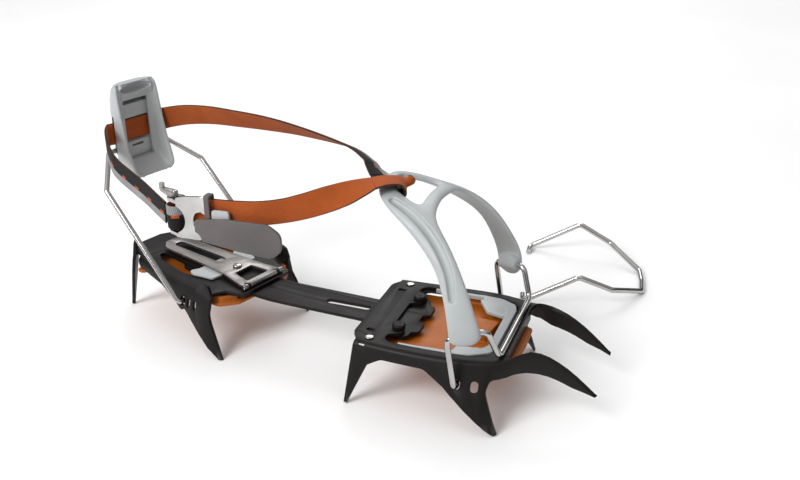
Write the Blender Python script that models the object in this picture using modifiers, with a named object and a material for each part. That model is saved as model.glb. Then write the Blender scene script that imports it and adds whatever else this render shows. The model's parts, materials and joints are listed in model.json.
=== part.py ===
"""Strap-on crampon for a mountaineering boot, right foot.

Front section, linking bar, heel section, toe bail with harness, heel bail with
lever, safety strap with buckle, and a spare wire toe bail lying beside it.
Lengths are written in millimetres and scaled by MM; +X is towards the toe,
+Y towards the wearer's left, +Z up, and the points stand on z = 0.
"""
import bpy
import bmesh
import numpy as np
from math import cos, pi, radians, sin
from mathutils import Matrix, Vector

MM = 0.001
OBJECT_NAME = "crampon"

# Driving dimensions
PLATE_HEIGHT = 45.5          # top of the steel plates above the ground
ORIGIN_X, ORIGIN_Y = 42.1, -86.2   # moves the design frame onto the box's centre
STEEL = 2.5                  # thickness of the plates and of the linking bar
GAP = 0.3                    # clearance between pieces that touch
BEND_RADIUS = 4.0            # outer radius of the folded edges
FOLD_V = 40.0                # flat half-width of every unfolded blank
HEEL_PIVOT = (-95.0, 4.1)    # where the heel axis meets the front axis
HEEL_YAW = radians(-17.0)    # the heel section's turn against the front section
BAR_YAW = radians(-2.5)
BAR_WIDTH = 30.0
BAR_TOP = -STEEL - GAP
INDEX_PITCH = 6.0
SHORTER_STEPS, LONGER_STEPS = 3, 5    # index notches ahead of and behind the peg's place
NOTCH_R = 3.0
PEG_X = -36.5                # index peg, in the heel frame
TOE_WIRE_R = 2.0
HEEL_WIRE_R = 2.0
SPARE_WIRE_R = 2.25
STRAP_WIDTH, STRAP_THICK = 17.0, 1.6
PIVOT_X, PIVOT_Z = -10.0, 2.3         # the length lever's pivot, in the heel frame
LUG_Y = 14.6                          # the plate's two lugs that carry it
SIDES = (("left", 1), ("right", -1))  # the wearer's left is +Y

# Fold half-width, fold height and flange angle along the front blank
FRONT_FOLD = [(-14, 44), (10, 46), (35, 47), (65, 46.5), (80, 43.5), (90, 40),
              (98, 35), (108, 29), (125, 26.5), (150, 25)]
FRONT_RISE = [(-20, 0), (30, 0), (60, 0.8), (85, 1.6), (92, 2.2), (99, 5.5),
              (106, 7.5), (113, 6.8), (121, 4), (132, -2.5), (142, -10.5), (150, -17.5)]
FRONT_ANGLE = [(-14, 80), (20, 76), (45, 70), (80, 68), (92, 72), (104, 84), (150, 88)]
HEEL_FOLD = [(-140, 22), (-125, 26), (-105, 30), (-80, 34), (-50, 38), (-18, 38), (-8, 34)]
HEEL_RISE = [(-140, 0), (-8, 0)]
HEEL_ANGLE = [(-140, 74), (-60, 74), (-8, 78)]


def clear_scene():
    for item in list(bpy.data.objects):
        bpy.data.objects.remove(item, do_unlink=True)


def make_collection(name):
    group = bpy.data.collections.new(name)
    bpy.context.scene.collection.children.link(group)
    return group


clear_scene()
PARTS = make_collection(OBJECT_NAME)
CUTTERS = make_collection("cutters")
CUTTERS.hide_render = True


def frame_empty(name, parent, location, yaw=0.0):
    """Empty that carries the pieces drawn in its frame."""
    empty = bpy.data.objects.new(name, None)
    PARTS.objects.link(empty)
    empty.parent = parent
    empty.location = Vector(location) * MM
    empty.rotation_euler.z = yaw
    return empty


FRONT = frame_empty("front_frame", None, (ORIGIN_X, ORIGIN_Y, PLATE_HEIGHT))
HEEL = frame_empty("heel_frame", FRONT, (*HEEL_PIVOT, 0), HEEL_YAW)


def material(name, colour, roughness, metallic):
    made = bpy.data.materials.get(name)
    if made is None:
        made = bpy.data.materials.new(name)
        made.use_nodes = True
        shader = made.node_tree.nodes["Principled BSDF"]
        shader.inputs["Base Color"].default_value = (*colour, 1)
        shader.inputs["Roughness"].default_value = roughness
        shader.inputs["Metallic"].default_value = metallic
    return made


def black_steel():
    return material("black_steel", (0.028, 0.024, 0.023), 0.45, 0.35)


def polished_steel():
    return material("polished_steel", (0.75, 0.75, 0.76), 0.15, 1.0)


def satin_steel():
    return material("satin_steel", (0.36, 0.34, 0.32), 0.4, 0.9)


def grey_plastic():
    return material("grey_plastic", (0.52, 0.56, 0.57), 0.45, 0.0)


def orange_plastic():
    return material("orange_plastic", (0.62, 0.19, 0.03), 0.5, 0.0)


def webbing():
    return material("webbing", (0.43, 0.08, 0.02), 0.85, 0.0)


def tab_rubber():
    return material("tab_rubber", (0.11, 0.10, 0.10), 0.6, 0.0)


# --- shape helpers -----------------------------------------------------------

def profile_value(x, stations):
    """Smooth curve through (x, value) stations, a Catmull-Rom in x."""
    xs = [s[0] for s in stations]
    vs = [s[1] for s in stations]
    if x <= xs[0] or x >= xs[-1]:
        return vs[0] if x <= xs[0] else vs[-1]
    i = int(np.searchsorted(xs, x)) - 1
    i = max(0, min(i, len(xs) - 2))

    def slope(k):
        a, b = max(k - 1, 0), min(k + 1, len(xs) - 1)
        return (vs[b] - vs[a]) / (xs[b] - xs[a])
    h = xs[i + 1] - xs[i]
    t = (x - xs[i]) / h
    return ((2 * t**3 - 3 * t**2 + 1) * vs[i] + (t**3 - 2 * t**2 + t) * h * slope(i)
            + (3 * t**2 - 2 * t**3) * vs[i + 1] + (t**3 - t**2) * h * slope(i + 1))


def rounded(points, segments=3):
    """Polygon with its corners rounded; each point is (x, y, radius)."""
    out = []
    count = len(points)
    for i, (x, y, radius) in enumerate(points):
        here = Vector((x, y))
        before = Vector(points[i - 1][:2]) - here
        after = Vector(points[(i + 1) % count][:2]) - here
        half = before.angle(after) / 2
        reach = min(radius / np.tan(half) if radius else 0, before.length / 2.01, after.length / 2.01)
        if reach < 0.05 or half > 1.52:
            out.append((x, y))
            continue
        start, end = here + before.normalized() * reach, here + after.normalized() * reach
        for k in range(segments + 1):
            t = k / segments
            p = start * (1 - t)**2 + here * 2 * t * (1 - t) + end * t**2
            out.append((p.x, p.y))
    return out


def oval(x, y, half_x, half_y, sides=16):
    """Rounded slot or circle outline."""
    r = min(half_x, half_y)
    out = []
    for k in range(sides):
        a = 2 * pi * (k + 0.5) / sides
        out.append((x + r * cos(a) + np.sign(cos(a)) * (half_x - r),
                    y + r * sin(a) + np.sign(sin(a)) * (half_y - r)))
    return out


def both_sides(half):
    """Closed outline from its +v half, mirrored over v = 0."""
    return half + [(x, -v) for x, v in reversed(half)]


def flat_plate(outlines, top, thickness):
    """Closed bmesh of a plate with holes, from a filled 2D curve."""
    curve = bpy.data.curves.new("outline", "CURVE")
    curve.dimensions = "2D"
    curve.fill_mode = "BOTH"
    curve.extrude = thickness * MM / 2
    for outline in outlines:
        spline = curve.splines.new("POLY")
        spline.points.add(len(outline) - 1)
        spline.use_cyclic_u = True
        for point, (x, y) in zip(spline.points, outline):
            point.co = (x * MM, y * MM, 0, 1)
    holder = bpy.data.objects.new("outline", curve)
    CUTTERS.objects.link(holder)
    bpy.context.view_layer.update()
    mesh = bpy.data.meshes.new_from_object(holder.evaluated_get(bpy.context.evaluated_depsgraph_get()))
    bpy.data.objects.remove(holder)
    bm = bmesh.new()
    bm.from_mesh(mesh)
    bmesh.ops.remove_doubles(bm, verts=bm.verts, dist=2e-6)
    bmesh.ops.dissolve_limit(bm, angle_limit=0.002, verts=bm.verts, edges=bm.edges)
    bmesh.ops.translate(bm, verts=bm.verts, vec=(0, 0, (top - thickness / 2) * MM))
    bmesh.ops.recalc_face_normals(bm, faces=bm.faces)
    return bm


def split_at(bm, axis, values):
    """Cut the mesh's faces along planes so that it can be bent."""
    normal = Vector((1, 0, 0)) if axis == 0 else Vector((0, 1, 0))
    for value in values:
        bmesh.ops.bisect_plane(bm, geom=bm.verts[:] + bm.edges[:] + bm.faces[:], dist=1e-7,
                               plane_co=normal * value * MM, plane_no=normal)


def folded_point(x, v, w, fold, rise, angle):
    """A point of an unfolded blank (x, v, depth w below its face), folded down at its sides."""
    edge = profile_value(x, fold)
    limit = radians(profile_value(x, angle))
    side = 1 if v >= 0 else -1
    lift = profile_value(x, rise)
    beyond = abs(v) - FOLD_V
    if beyond <= 0:
        return Vector((x, side * abs(v) / FOLD_V * edge, lift + w))
    turn = min(beyond / BEND_RADIUS, limit)
    y = edge + BEND_RADIUS * sin(turn)
    z = lift - BEND_RADIUS * (1 - cos(turn))
    rest = beyond - turn * BEND_RADIUS
    y += rest * cos(turn)
    z -= rest * sin(turn)
    return Vector((x, side * (y + w * sin(turn)), z + w * cos(turn)))


def flat_hole(x, y, radius, fold, sides=12):
    """Outline on the unfolded blank of a hole that is round at (x, y) on the finished flat."""
    stretch = FOLD_V / profile_value(x, fold)
    turns = [2 * pi * (k + 0.5) / sides for k in range(sides)]
    return [(x + radius * cos(a), (y + radius * sin(a)) * stretch) for a in turns]


def fold_blank(bm, fold, rise, angle):
    for vert in bm.verts:
        x, v, w = vert.co / MM
        vert.co = folded_point(x, v, w, fold, rise, angle) * MM


def put(name, data, frame, origin=(0, 0, 0)):
    """New object with its origin at a point of the frame that carries it."""
    made = bpy.data.objects.new(name, data)
    PARTS.objects.link(made)
    made.parent = frame
    made.location = Vector(origin) * MM
    return made


def finish(name, bm, frame, look, origin=(0, 0, 0), smooth=40):
    """New object from a bmesh drawn in the frame's coordinates."""
    mesh = bpy.data.meshes.new(name)
    bmesh.ops.translate(bm, verts=bm.verts, vec=-Vector(origin) * MM)
    bm.to_mesh(mesh)
    bm.free()
    if look:
        mesh.materials.append(look)
    mesh.shade_smooth()
    mesh.set_sharp_from_angle(angle=radians(smooth))
    return put(name, mesh, frame, origin)


def as_tool(made):
    """Hide a shape that only cuts or joins another."""
    PARTS.objects.unlink(made)
    CUTTERS.objects.link(made)
    made.hide_render = True
    made.display_type = "WIRE"
    return made


def boolean(target, tool, operation):
    modifier = target.modifiers.new(operation.lower(), "BOOLEAN")
    modifier.operation = operation
    modifier.solver = "EXACT"
    modifier.object = as_tool(tool)


def rod_mesh(start, end, radius, sides=16):
    """Closed cylinder between two points, in millimetres."""
    start, end = Vector(start) * MM, Vector(end) * MM
    bm = bmesh.new()
    along = end - start
    turn = along.to_track_quat("Z", "Y").to_matrix().to_4x4()
    bmesh.ops.create_cone(bm, cap_ends=True, segments=sides, radius1=radius * MM, radius2=radius * MM,
                          depth=along.length, matrix=Matrix.Translation((start + end) / 2) @ turn)
    return bm


def upright_plate(outlines, thickness, y):
    """Plate whose outline is drawn in x and z, standing across +Y with its middle at y."""
    bm = flat_plate(outlines, thickness / 2, thickness)
    stand = Matrix.Translation((0, y * MM, 0)) @ Matrix.Rotation(pi / 2, 4, "X")
    bmesh.ops.transform(bm, matrix=stand, verts=bm.verts)
    return bm


def box_mesh(low, high):
    low, high = Vector(low) * MM, Vector(high) * MM
    bm = bmesh.new()
    size = high - low
    bmesh.ops.create_cube(bm, size=1, matrix=Matrix.Translation((low + high) / 2)
                          @ Matrix.Diagonal((*size, 1)))
    return bm


def turned(name, profile, frame, look, centre=(0, 0, 0), sides=20):
    """Turned solid about +Z; profile is (radius, height), from its top to its bottom."""
    bm = bmesh.new()
    section = [(0, profile[0][1])] + profile + [(0, profile[-1][1])]
    verts = [bm.verts.new(Vector((radius, 0, height)) * MM) for radius, height in section]
    for upper, lower in zip(verts, verts[1:]):
        bm.edges.new((upper, lower))
    mesh = bpy.data.meshes.new(name)
    bm.to_mesh(mesh)
    bm.free()
    mesh.materials.append(look)
    made = put(name, mesh, frame, centre)
    screw = made.modifiers.new("turn", "SCREW")
    screw.steps = screw.render_steps = sides
    screw.use_merge_vertices = True
    screw.merge_threshold = 0.00001
    return made


def smooth_path(points, steps=6):
    """Catmull-Rom curve through the points."""
    p = [Vector(q) for q in points]
    p = [2 * p[0] - p[1]] + p + [2 * p[-1] - p[-2]]
    out = []
    for i in range(1, len(p) - 2):
        for k in range(steps):
            t = k / steps
            out.append(0.5 * (2 * p[i] + (p[i + 1] - p[i - 1]) * t
                              + (2 * p[i - 1] - 5 * p[i] + 4 * p[i + 1] - p[i + 2]) * t**2
                              + (3 * p[i] - 3 * p[i + 1] + p[i + 2] - p[i - 1]) * t**3))
    out.append(p[-2])
    return out


def filleted(points, radius, segments=5):
    """Straight runs in space with rounded bends, as a wire is bent."""
    points = [Vector(p) for p in points]
    out = [points[0]]
    for before, here, after in zip(points, points[1:], points[2:]):
        a, b = before - here, after - here
        reach = min(radius / np.tan(a.angle(b) / 2), a.length * 0.48, b.length * 0.48)
        start, end = here + a.normalized() * reach, here + b.normalized() * reach
        for k in range(segments + 1):
            t = k / segments
            out.append(start * (1 - t)**2 + here * 2 * t * (1 - t) + end * t**2)
    out.append(points[-1])
    return out


def wire(name, points, radius, frame, look, origin=(0, 0, 0)):
    """Round wire along the points: a curve with a bevel and filled ends."""
    curve = bpy.data.curves.new(name, "CURVE")
    curve.dimensions = "3D"
    curve.bevel_depth = radius * MM
    curve.bevel_resolution = 2
    curve.use_fill_caps = True
    curve.materials.append(look)
    spline = curve.splines.new("POLY")
    spline.points.add(len(points) - 1)
    for point, place in zip(spline.points, points):
        point.co = (*((Vector(place) - Vector(origin)) * MM), 1)
    return put(name, curve, frame, origin)


def band_mesh(path, sides, width, thickness):
    """Flat strap: a rectangle swept along path; sides gives its width direction at each point."""
    bm = bmesh.new()
    rings = []
    for i, here in enumerate(path):
        ahead = path[min(i + 1, len(path) - 1)] - path[max(i - 1, 0)]
        across = Vector(sides[i])
        across = (across - ahead * across.dot(ahead) / ahead.length_squared).normalized()
        face = ahead.cross(across).normalized()
        corners = [here + across * a * width / 2 + face * b * thickness / 2
                   for a, b in ((-1, -1), (1, -1), (1, 1), (-1, 1))]
        rings.append([bm.verts.new(c * MM) for c in corners])
    for first, second in zip(rings, rings[1:]):
        for k in range(4):
            bm.faces.new((first[k], first[(k + 1) % 4], second[(k + 1) % 4], second[k]))
    bm.faces.new(list(reversed(rings[0])))
    bm.faces.new(rings[-1])
    bmesh.ops.recalc_face_normals(bm, faces=bm.faces)
    return bm


def loft_mesh(rings):
    """Closed solid through rings of points, each ring closed and capped at the ends."""
    bm = bmesh.new()
    made = [[bm.verts.new(Vector(p) * MM) for p in ring] for ring in rings]
    count = len(made[0])
    for lower, upper in zip(made, made[1:]):
        for k in range(count):
            bm.faces.new((lower[k], lower[(k + 1) % count], upper[(k + 1) % count], upper[k]))
    bm.faces.new(made[0])
    bm.faces.new(list(reversed(made[-1])))
    bmesh.ops.recalc_face_normals(bm, faces=bm.faces)
    return bm


# --- front section -----------------------------------------------------------

def front_at(x, v, w=0.0):
    return folded_point(x, v, w, FRONT_FOLD, FRONT_RISE, FRONT_ANGLE)


TOE_HOLE = (65.0, FOLD_V + 17.5)      # toe-wire hole on the unfolded front blank
SPARE_HOLE = (76.5, FOLD_V + 18.5)
RIVET_Y = 40.4                        # the two rivets of the front plate, on x = 0
COLLAR = (14.0, 21.5)                 # the two collars that hold the linking bar's head


def front_outline():
    """Half outline of the front blank: rear edge, rear point, side point, front point."""
    f = FOLD_V
    corners = [
        (-13, 0, 0), (-13, 33, 6), (-8, f - 1, 3), (-9, f + 6, 4),
        (-13.5, f + 47.5, 0), (-11.5, f + 48, 0), (2, f + 17, 5), (12, f + 11, 8),
        (42, f + 11, 8), (56, f + 20, 10),
        (91.3, f + 51.4, 0), (93.0, f + 51.4, 0), (83.5, f + 22, 8), (85.5, f + 13, 8), (98, f + 15, 10),
        (108, f + 18, 12), (121, f + 16.2, 14), (134, f + 13.5, 14), (149.5, f + 5.2, 0),
        (150.5, f + 2.8, 0), (96, f + 2.6, 2), (92.5, f - 6, 3), (92.5, 0, 0)]
    return rounded(corners)


def front_window():
    rail = FOLD_V - 4.2
    corners = [(9, 0, 0), (9, 12, 2), (17, 15, 2), (19, 24, 4), (10, 27, 4), (9, rail - 3, 6),
               (14, rail, 6), (70, rail, 10), (84, rail - 4, 6), (84.5, 0, 0)]
    return both_sides(rounded(corners))


def front_plate():
    holes = [front_window()]
    for side in (1, -1):
        holes.append(oval(TOE_HOLE[0], side * TOE_HOLE[1], 2.7, 3.6))
        holes.append(oval(SPARE_HOLE[0], side * SPARE_HOLE[1], 2.7, 3.9))
        holes.append(oval(-3.0, side * (FOLD_V + 3.5), 2.6, 1.3, 12))
        holes.append(flat_hole(0, side * RIVET_Y, 1.7, FRONT_FOLD))
        holes.append(oval(-3.0, side * 27.0, 3.2, 1.7, 12))
        holes.append(flat_hole(COLLAR[0], side * COLLAR[1], 2.3, FRONT_FOLD))
    bm = flat_plate([both_sides(front_outline())] + holes, 0, STEEL)
    split_at(bm, 0, [-8, 2, 20, 38, 52, 62, 72, 80, 86, 90] + list(range(95, 150, 6)))
    bends = [FOLD_V, FOLD_V + 1.5, FOLD_V + 3, FOLD_V + 4.6]
    split_at(bm, 1, bends + [-v for v in bends])
    fold_blank(bm, FRONT_FOLD, FRONT_RISE, FRONT_ANGLE)
    plate = finish("front_plate", bm, FRONT, black_steel())
    lip = finish("front_lip", box_mesh((90.4, -33, -7.5), (92.4, 33, 1.4)), FRONT, None)
    boolean(plate, lip, "UNION")


def front_antisnow():
    """Orange anti-balling plate: a tray under the front plate with upturned sides."""
    inset = 4.6
    outer, inner = [], []
    for x in (-7, 8, 30, 60, 78, 88):
        outer.append((x, profile_value(x, FRONT_FOLD) - inset + 3.6, 3 if x in (-7, 88) else 0))
        inner.append((x, profile_value(x, FRONT_FOLD) - inset + 0.6, 3 if x in (-7, 88) else 0))
    apron = [(90, 26, 2), (96.5, 23, 3), (97.5, 0, 0)]
    tray = flat_plate([both_sides(rounded(outer + apron))], -8.2, 2.4)
    body = finish("front_antisnow", tray, FRONT, orange_plastic())
    # the rear of the side walls stops short of the linking bar's head and its lugs
    rim_outer = [(x, y, r) for x, y, r in outer if x > 10]
    rim_inner = [(x, y, r) for x, y, r in reversed(inner) if x > 10]
    for side in (1, -1):
        wall = [(x, side * y) for x, y in rounded(rim_outer + rim_inner)]
        rim = finish("tray_wall", flat_plate([wall], -3.4, 6.0), FRONT, None)
        boolean(body, rim, "UNION")


def toe_pad():
    """Grey pad inside the front of the frame, a U with long side wings."""
    def edge(x, more=0.0):
        return profile_value(x, FRONT_FOLD) * (FOLD_V - 4.2) / FOLD_V - 0.6 - more

    half = [(77.5, 0, 0), (77.5, 25, 3), (74.5, 30, 3), (58, 31, 2), (56.5, edge(56, 2.6), 2),
            (26, edge(26, 1.6), 0), (20, edge(20, 1.4), 0), (20, edge(20), 0), (40, edge(40), 6),
            (57, edge(57), 6), (69, edge(69), 4), (81.5, edge(81.5, 4.1), 4), (83.7, edge(83.7, 11.6), 2),
            (83.7, 0, 0)]
    bm = flat_plate([both_sides(rounded(half))], 0.4, 3.6)
    split_at(bm, 0, (30, 40, 50, 60, 68, 76))
    for vert in bm.verts:
        vert.co.z += profile_value(vert.co.x / MM, FRONT_RISE) * MM
    finish("toe_pad", bm, FRONT, grey_plastic())


def rivet_profile(head, foot):
    """Low domed head above the plate and a shank through it."""
    return [(head * 0.55, 1.3), (head, 0.7), (head, GAP), (1.4, GAP), (1.4, foot)]


def front_rivets():
    for label, side in SIDES:
        place = (0, side * RIVET_Y, 0)
        turned(f"front_rivet_{label}", rivet_profile(3.0, -7.9), FRONT, polished_steel(), place)


# --- linking bar -------------------------------------------------------------

def heel_to_front(x, y):
    """A point of the heel frame in the front frame."""
    return (HEEL_PIVOT[0] + x * cos(HEEL_YAW) - y * sin(HEEL_YAW),
            HEEL_PIVOT[1] + x * sin(HEEL_YAW) + y * cos(HEEL_YAW))


BAR_BEND = 18.0                       # reach of the bar's bend on each side of the heel pivot


def index_slot():
    """Scalloped slot in the bar: a round notch at each pitch, joined by a channel for the peg."""
    upper = []
    notches = range(-SHORTER_STEPS, LONGER_STEPS + 1)
    for k in notches:
        centre = PEG_X - INDEX_PITCH * k
        for a in (50, 75, 105, 130):
            upper.append((centre + NOTCH_R * cos(radians(a)), NOTCH_R * sin(radians(a))))
    first, last = PEG_X - INDEX_PITCH * notches[0], PEG_X - INDEX_PITCH * notches[-1]
    front_end = [(first + NOTCH_R * cos(radians(a)), NOTCH_R * sin(radians(a))) for a in (-20, 20)]
    rear_end = [(last - NOTCH_R * cos(radians(a)), NOTCH_R * sin(radians(a))) for a in (20, -20)]
    return front_end + upper + rear_end + [(x, -y) for x, y in reversed(upper)]


def bar_centreline():
    """Front run, a gentle bend at the heel pivot, and the run along the heel's axis."""
    slope = np.tan(BAR_YAW)
    front = [(x, slope * x) for x in (6.0, -20.0, -45.0, HEEL_PIVOT[0] + BAR_BEND)]
    pivot = Vector(HEEL_PIVOT)
    start, end = Vector(front[-1]), Vector(heel_to_front(-BAR_BEND, 0))
    curve = [start * (1 - t)**2 + pivot * 2 * t * (1 - t) + end * t**2 for t in (0.25, 0.5, 0.75, 1)]
    rear = [heel_to_front(x, 0) for x in (-60, -84)]
    return [Vector(p) for p in front] + curve + [Vector(p) for p in rear]


def linking_bar():
    centre = bar_centreline()
    left, right = [], []
    for i, here in enumerate(centre):
        ahead = centre[min(i + 1, len(centre) - 1)] - centre[max(i - 1, 0)]
        normal = Vector((-ahead.y, ahead.x)).normalized() * BAR_WIDTH / 2
        left.append(here - normal)
        right.append(here + normal)
    head = [(9, 15, 0), (9, 27, 3), (21, 27.5, 4), (22, 20, 2), (27, 18, 3), (27, 6, 3), (22, 4, 2),
            (22, 0, 0)]
    head = rounded(head, 3)
    outline = [(p.x, p.y) for p in left]
    rear = rounded([(*outline[-2], 0), (*outline[-1], 6), (*right[-1], 6), (*right[-2], 0)])
    outline = outline[:-1] + rear[1:-1] + [(p.x, p.y) for p in reversed(right[:-1])]
    # left runs on +Y, so the head closes the front from -Y back to +Y
    head_loop = [(x, -y) for x, y in head] + [(x, y) for x, y in reversed(head)]
    head_loop = head_loop if outline[-1][1] < 0 else list(reversed(head_loop))
    outline = outline + head_loop
    slope = np.tan(BAR_YAW)
    holes = [oval(-33, -33 * slope, 17, 3.0)]
    holes += [oval(COLLAR[0], side * COLLAR[1], 2.3, 2.3, 12) for side in (1, -1)]
    holes.append([heel_to_front(x, y) for x, y in index_slot()])
    bm = flat_plate([outline] + holes, BAR_TOP, STEEL)
    finish("linking_bar", bm, FRONT, black_steel())


def bar_collars():
    """The two flanged collars that hold the bar's head under the plate's lugs."""
    profile = [(1.6, 3.4), (4.2, 3.0), (4.6, 2.2), (4.6, GAP), (1.9, GAP), (1.9, -7.9)]
    for label, side in SIDES:
        place = (COLLAR[0], side * COLLAR[1], 0)
        turned(f"bar_collar_{label}", profile, FRONT, black_steel(), place)


# --- toe bail ----------------------------------------------------------------

def toe_axis():
    """Centre of the near toe-wire hole, in the front frame (y on the +Y side)."""
    return front_at(TOE_HOLE[0], TOE_HOLE[1], -STEEL / 2)


def toe_wire_route():
    hole = toe_axis()
    outside = hole.y + 5.2
    half = [(hole.x, hole.y - 4.2, hole.z), (hole.x, outside, hole.z), (59, 59.0, 22.0),
            (82, 48.0, 25.5), (89.0, 41.5, 4.7)]
    far = [Vector(p) for p in half]
    near = [Vector((p.x, -p.y, p.z)) for p in reversed(far)]
    return filleted(far + near, 5.0)


def toe_wire():
    hole = toe_axis()
    wire("toe_wire", toe_wire_route(), TOE_WIRE_R, FRONT, polished_steel(), (hole.x, 0, hole.z))


HARNESS_ARM = [   # outer edge, middle, inner edge from the foot of an arm to the rear loop
    ((60.5, 59.5, 17.5), (70, 57.5, 16.5), (79.5, 53.0, 18.5)),
    ((60.0, 60.0, 26), (70, 58.5, 26.5), (80.0, 54.5, 28)),
    ((57.5, 57.5, 37), (67.5, 57.5, 37), (77.0, 54.5, 37)),
    ((54.0, 54.0, 48), (64, 54.0, 47.5), (72.5, 51.5, 46.5)),
    ((48.5, 49.6, 61.4), (57, 49.0, 62.5), (63.5, 46.0, 63.5)),
    ((39, 44.5, 71), (47, 42.5, 74), (52.5, 37.5, 77.5)),
    ((28, 38.5, 79), (35.5, 35, 83), (40.5, 28, 86.5)),
    ((17, 33.5, 85.5), (23, 28.5, 89), (27.5, 21.5, 90.5)),
    ((7, 28, 90.5), (12, 22.5, 93.5), (15.5, 16.5, 94.5)),
    ((-1, 20, 94.5), (3, 15.5, 96.5), (7, 11.5, 97))]
HARNESS_BRIDGE = [((37.5, 12, 88.5), (27, 11, 91)), ((36.5, 0, 89), (26.5, 0, 91.5))]
HARNESS_LOOP = [((-4, 11, 96.5), (-0.5, 9.5, 98), (4.5, 8, 98)),
                ((-4.8, 0, 97), (-1, 0, 98.5), (3.8, 0, 98.3))]


def toe_harness():
    """Moulded yoke: two arms, a bridge and the rear loop that carries the strap."""
    bm = bmesh.new()
    arm = [[bm.verts.new(Vector(p) * MM) for p in row] for row in HARNESS_ARM]
    loop = [[bm.verts.new(Vector(p) * MM) for p in row] for row in HARNESS_LOOP]
    bridge = [[bm.verts.new(Vector(p) * MM) for p in row] for row in HARNESS_BRIDGE]
    strips = list(zip(arm, arm[1:])) + [(arm[-1], loop[0]), (loop[0], loop[1])]
    for lower, upper in strips:
        for k in range(2):
            bm.faces.new((lower[k], lower[k + 1], upper[k + 1], upper[k]))
    bm.faces.new((arm[6][2], bridge[0][0], bridge[0][1], arm[7][2]))
    bm.faces.new((bridge[0][0], bridge[1][0], bridge[1][1], bridge[0][1]))
    bmesh.ops.recalc_face_normals(bm, faces=bm.faces)
    hole = toe_axis()
    yoke = finish("toe_harness", bm, FRONT, grey_plastic(), (hole.x, 0, hole.z))
    mirror = yoke.modifiers.new("mirror", "MIRROR")
    mirror.use_axis = (False, True, False)
    mirror.merge_threshold = 0.0001
    shell = yoke.modifiers.new("shell", "SOLIDIFY")
    shell.thickness = 4.6 * MM
    shell.offset = 0
    soft = yoke.modifiers.new("soft", "SUBSURF")
    soft.levels = soft.render_levels = 1
    for side in (1, -1):
        route = [(61.5, side * 57.9, 22.4), (79.0, side * 49.4, 25.0)]
        boolean(yoke, finish("arm_foot", rod_mesh(*route, 5.4), FRONT, None), "UNION")
    for side in (1, -1):
        start, end = Vector((59, side * 59.0, 22.0)), Vector((82, side * 48.0, 25.5))
        more = (end - start) * 0.35
        bore = rod_mesh(start - more, end + more, 3.1)
        boolean(yoke, finish("wire_bore", bore, FRONT, None), "DIFFERENCE")


# --- heel section ------------------------------------------------------------

def heel_at(x, v, w=0.0):
    return folded_point(x, v, w, HEEL_FOLD, HEEL_RISE, HEEL_ANGLE)


# bail holes on the unfolded heel blank, the rearmost in use, and the rivets of the plate
HEEL_HOLES = [(-50.0, FOLD_V + 13.2), (-43.5, FOLD_V + 13.0), (-37.0, FOLD_V + 12.8)]
HEEL_RIVET = (-114.0, 24.0)


def heel_outline():
    f = FOLD_V
    corners = [
        (-6, 0, 0), (-6, 28, 2), (-21, 29.5, 3), (-25, f - 3, 4), (-22, f + 4, 4), (-22.5, f + 16, 8),
        (-9.0, f + 48.2, 0), (-10.8, f + 48.2, 0), (-44, f + 20.5, 3), (-47, f + 18.5, 1),
        (-50.5, f + 20.5, 2), (-60, f + 16, 8), (-78, f + 10.5, 10), (-112, f + 7.5, 6), (-118, f - 2, 6),
        (-131, 34, 8), (-137, 16, 10), (-137, 0, 0)]
    return rounded(corners)


def heel_blade(side):
    """Rear point and heel stop: one blade set diagonally across the rear corner."""
    outline = rounded([(-9.5, -1, 2), (-9, -12, 4), (-4.2, -45.9, 0), (-2.2, -45.9, 0), (8, -12, 6),
                       (9, -2, 2), (7.5, 3, 2), (8.5, 13, 2), (0.5, 14, 2), (-1.5, 3, 2)])
    bm = flat_plate([outline], STEEL / 2, STEEL)
    tangent = Vector((0.68, side * 0.73, 0)).normalized()
    lean = radians(9)
    outward = Vector((-tangent.y * side, tangent.x * side, 0))
    outward = outward if outward.x < 0 else -outward
    up = (Vector((0, 0, 1)) * cos(lean) - outward * sin(lean)).normalized()
    turn = Matrix((tangent, up, tangent.cross(up))).transposed().to_4x4()
    bmesh.ops.transform(bm, matrix=Matrix.Translation(Vector((-122.5, side * 27.5, 0)) * MM) @ turn,
                        verts=bm.verts)
    return bm


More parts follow.
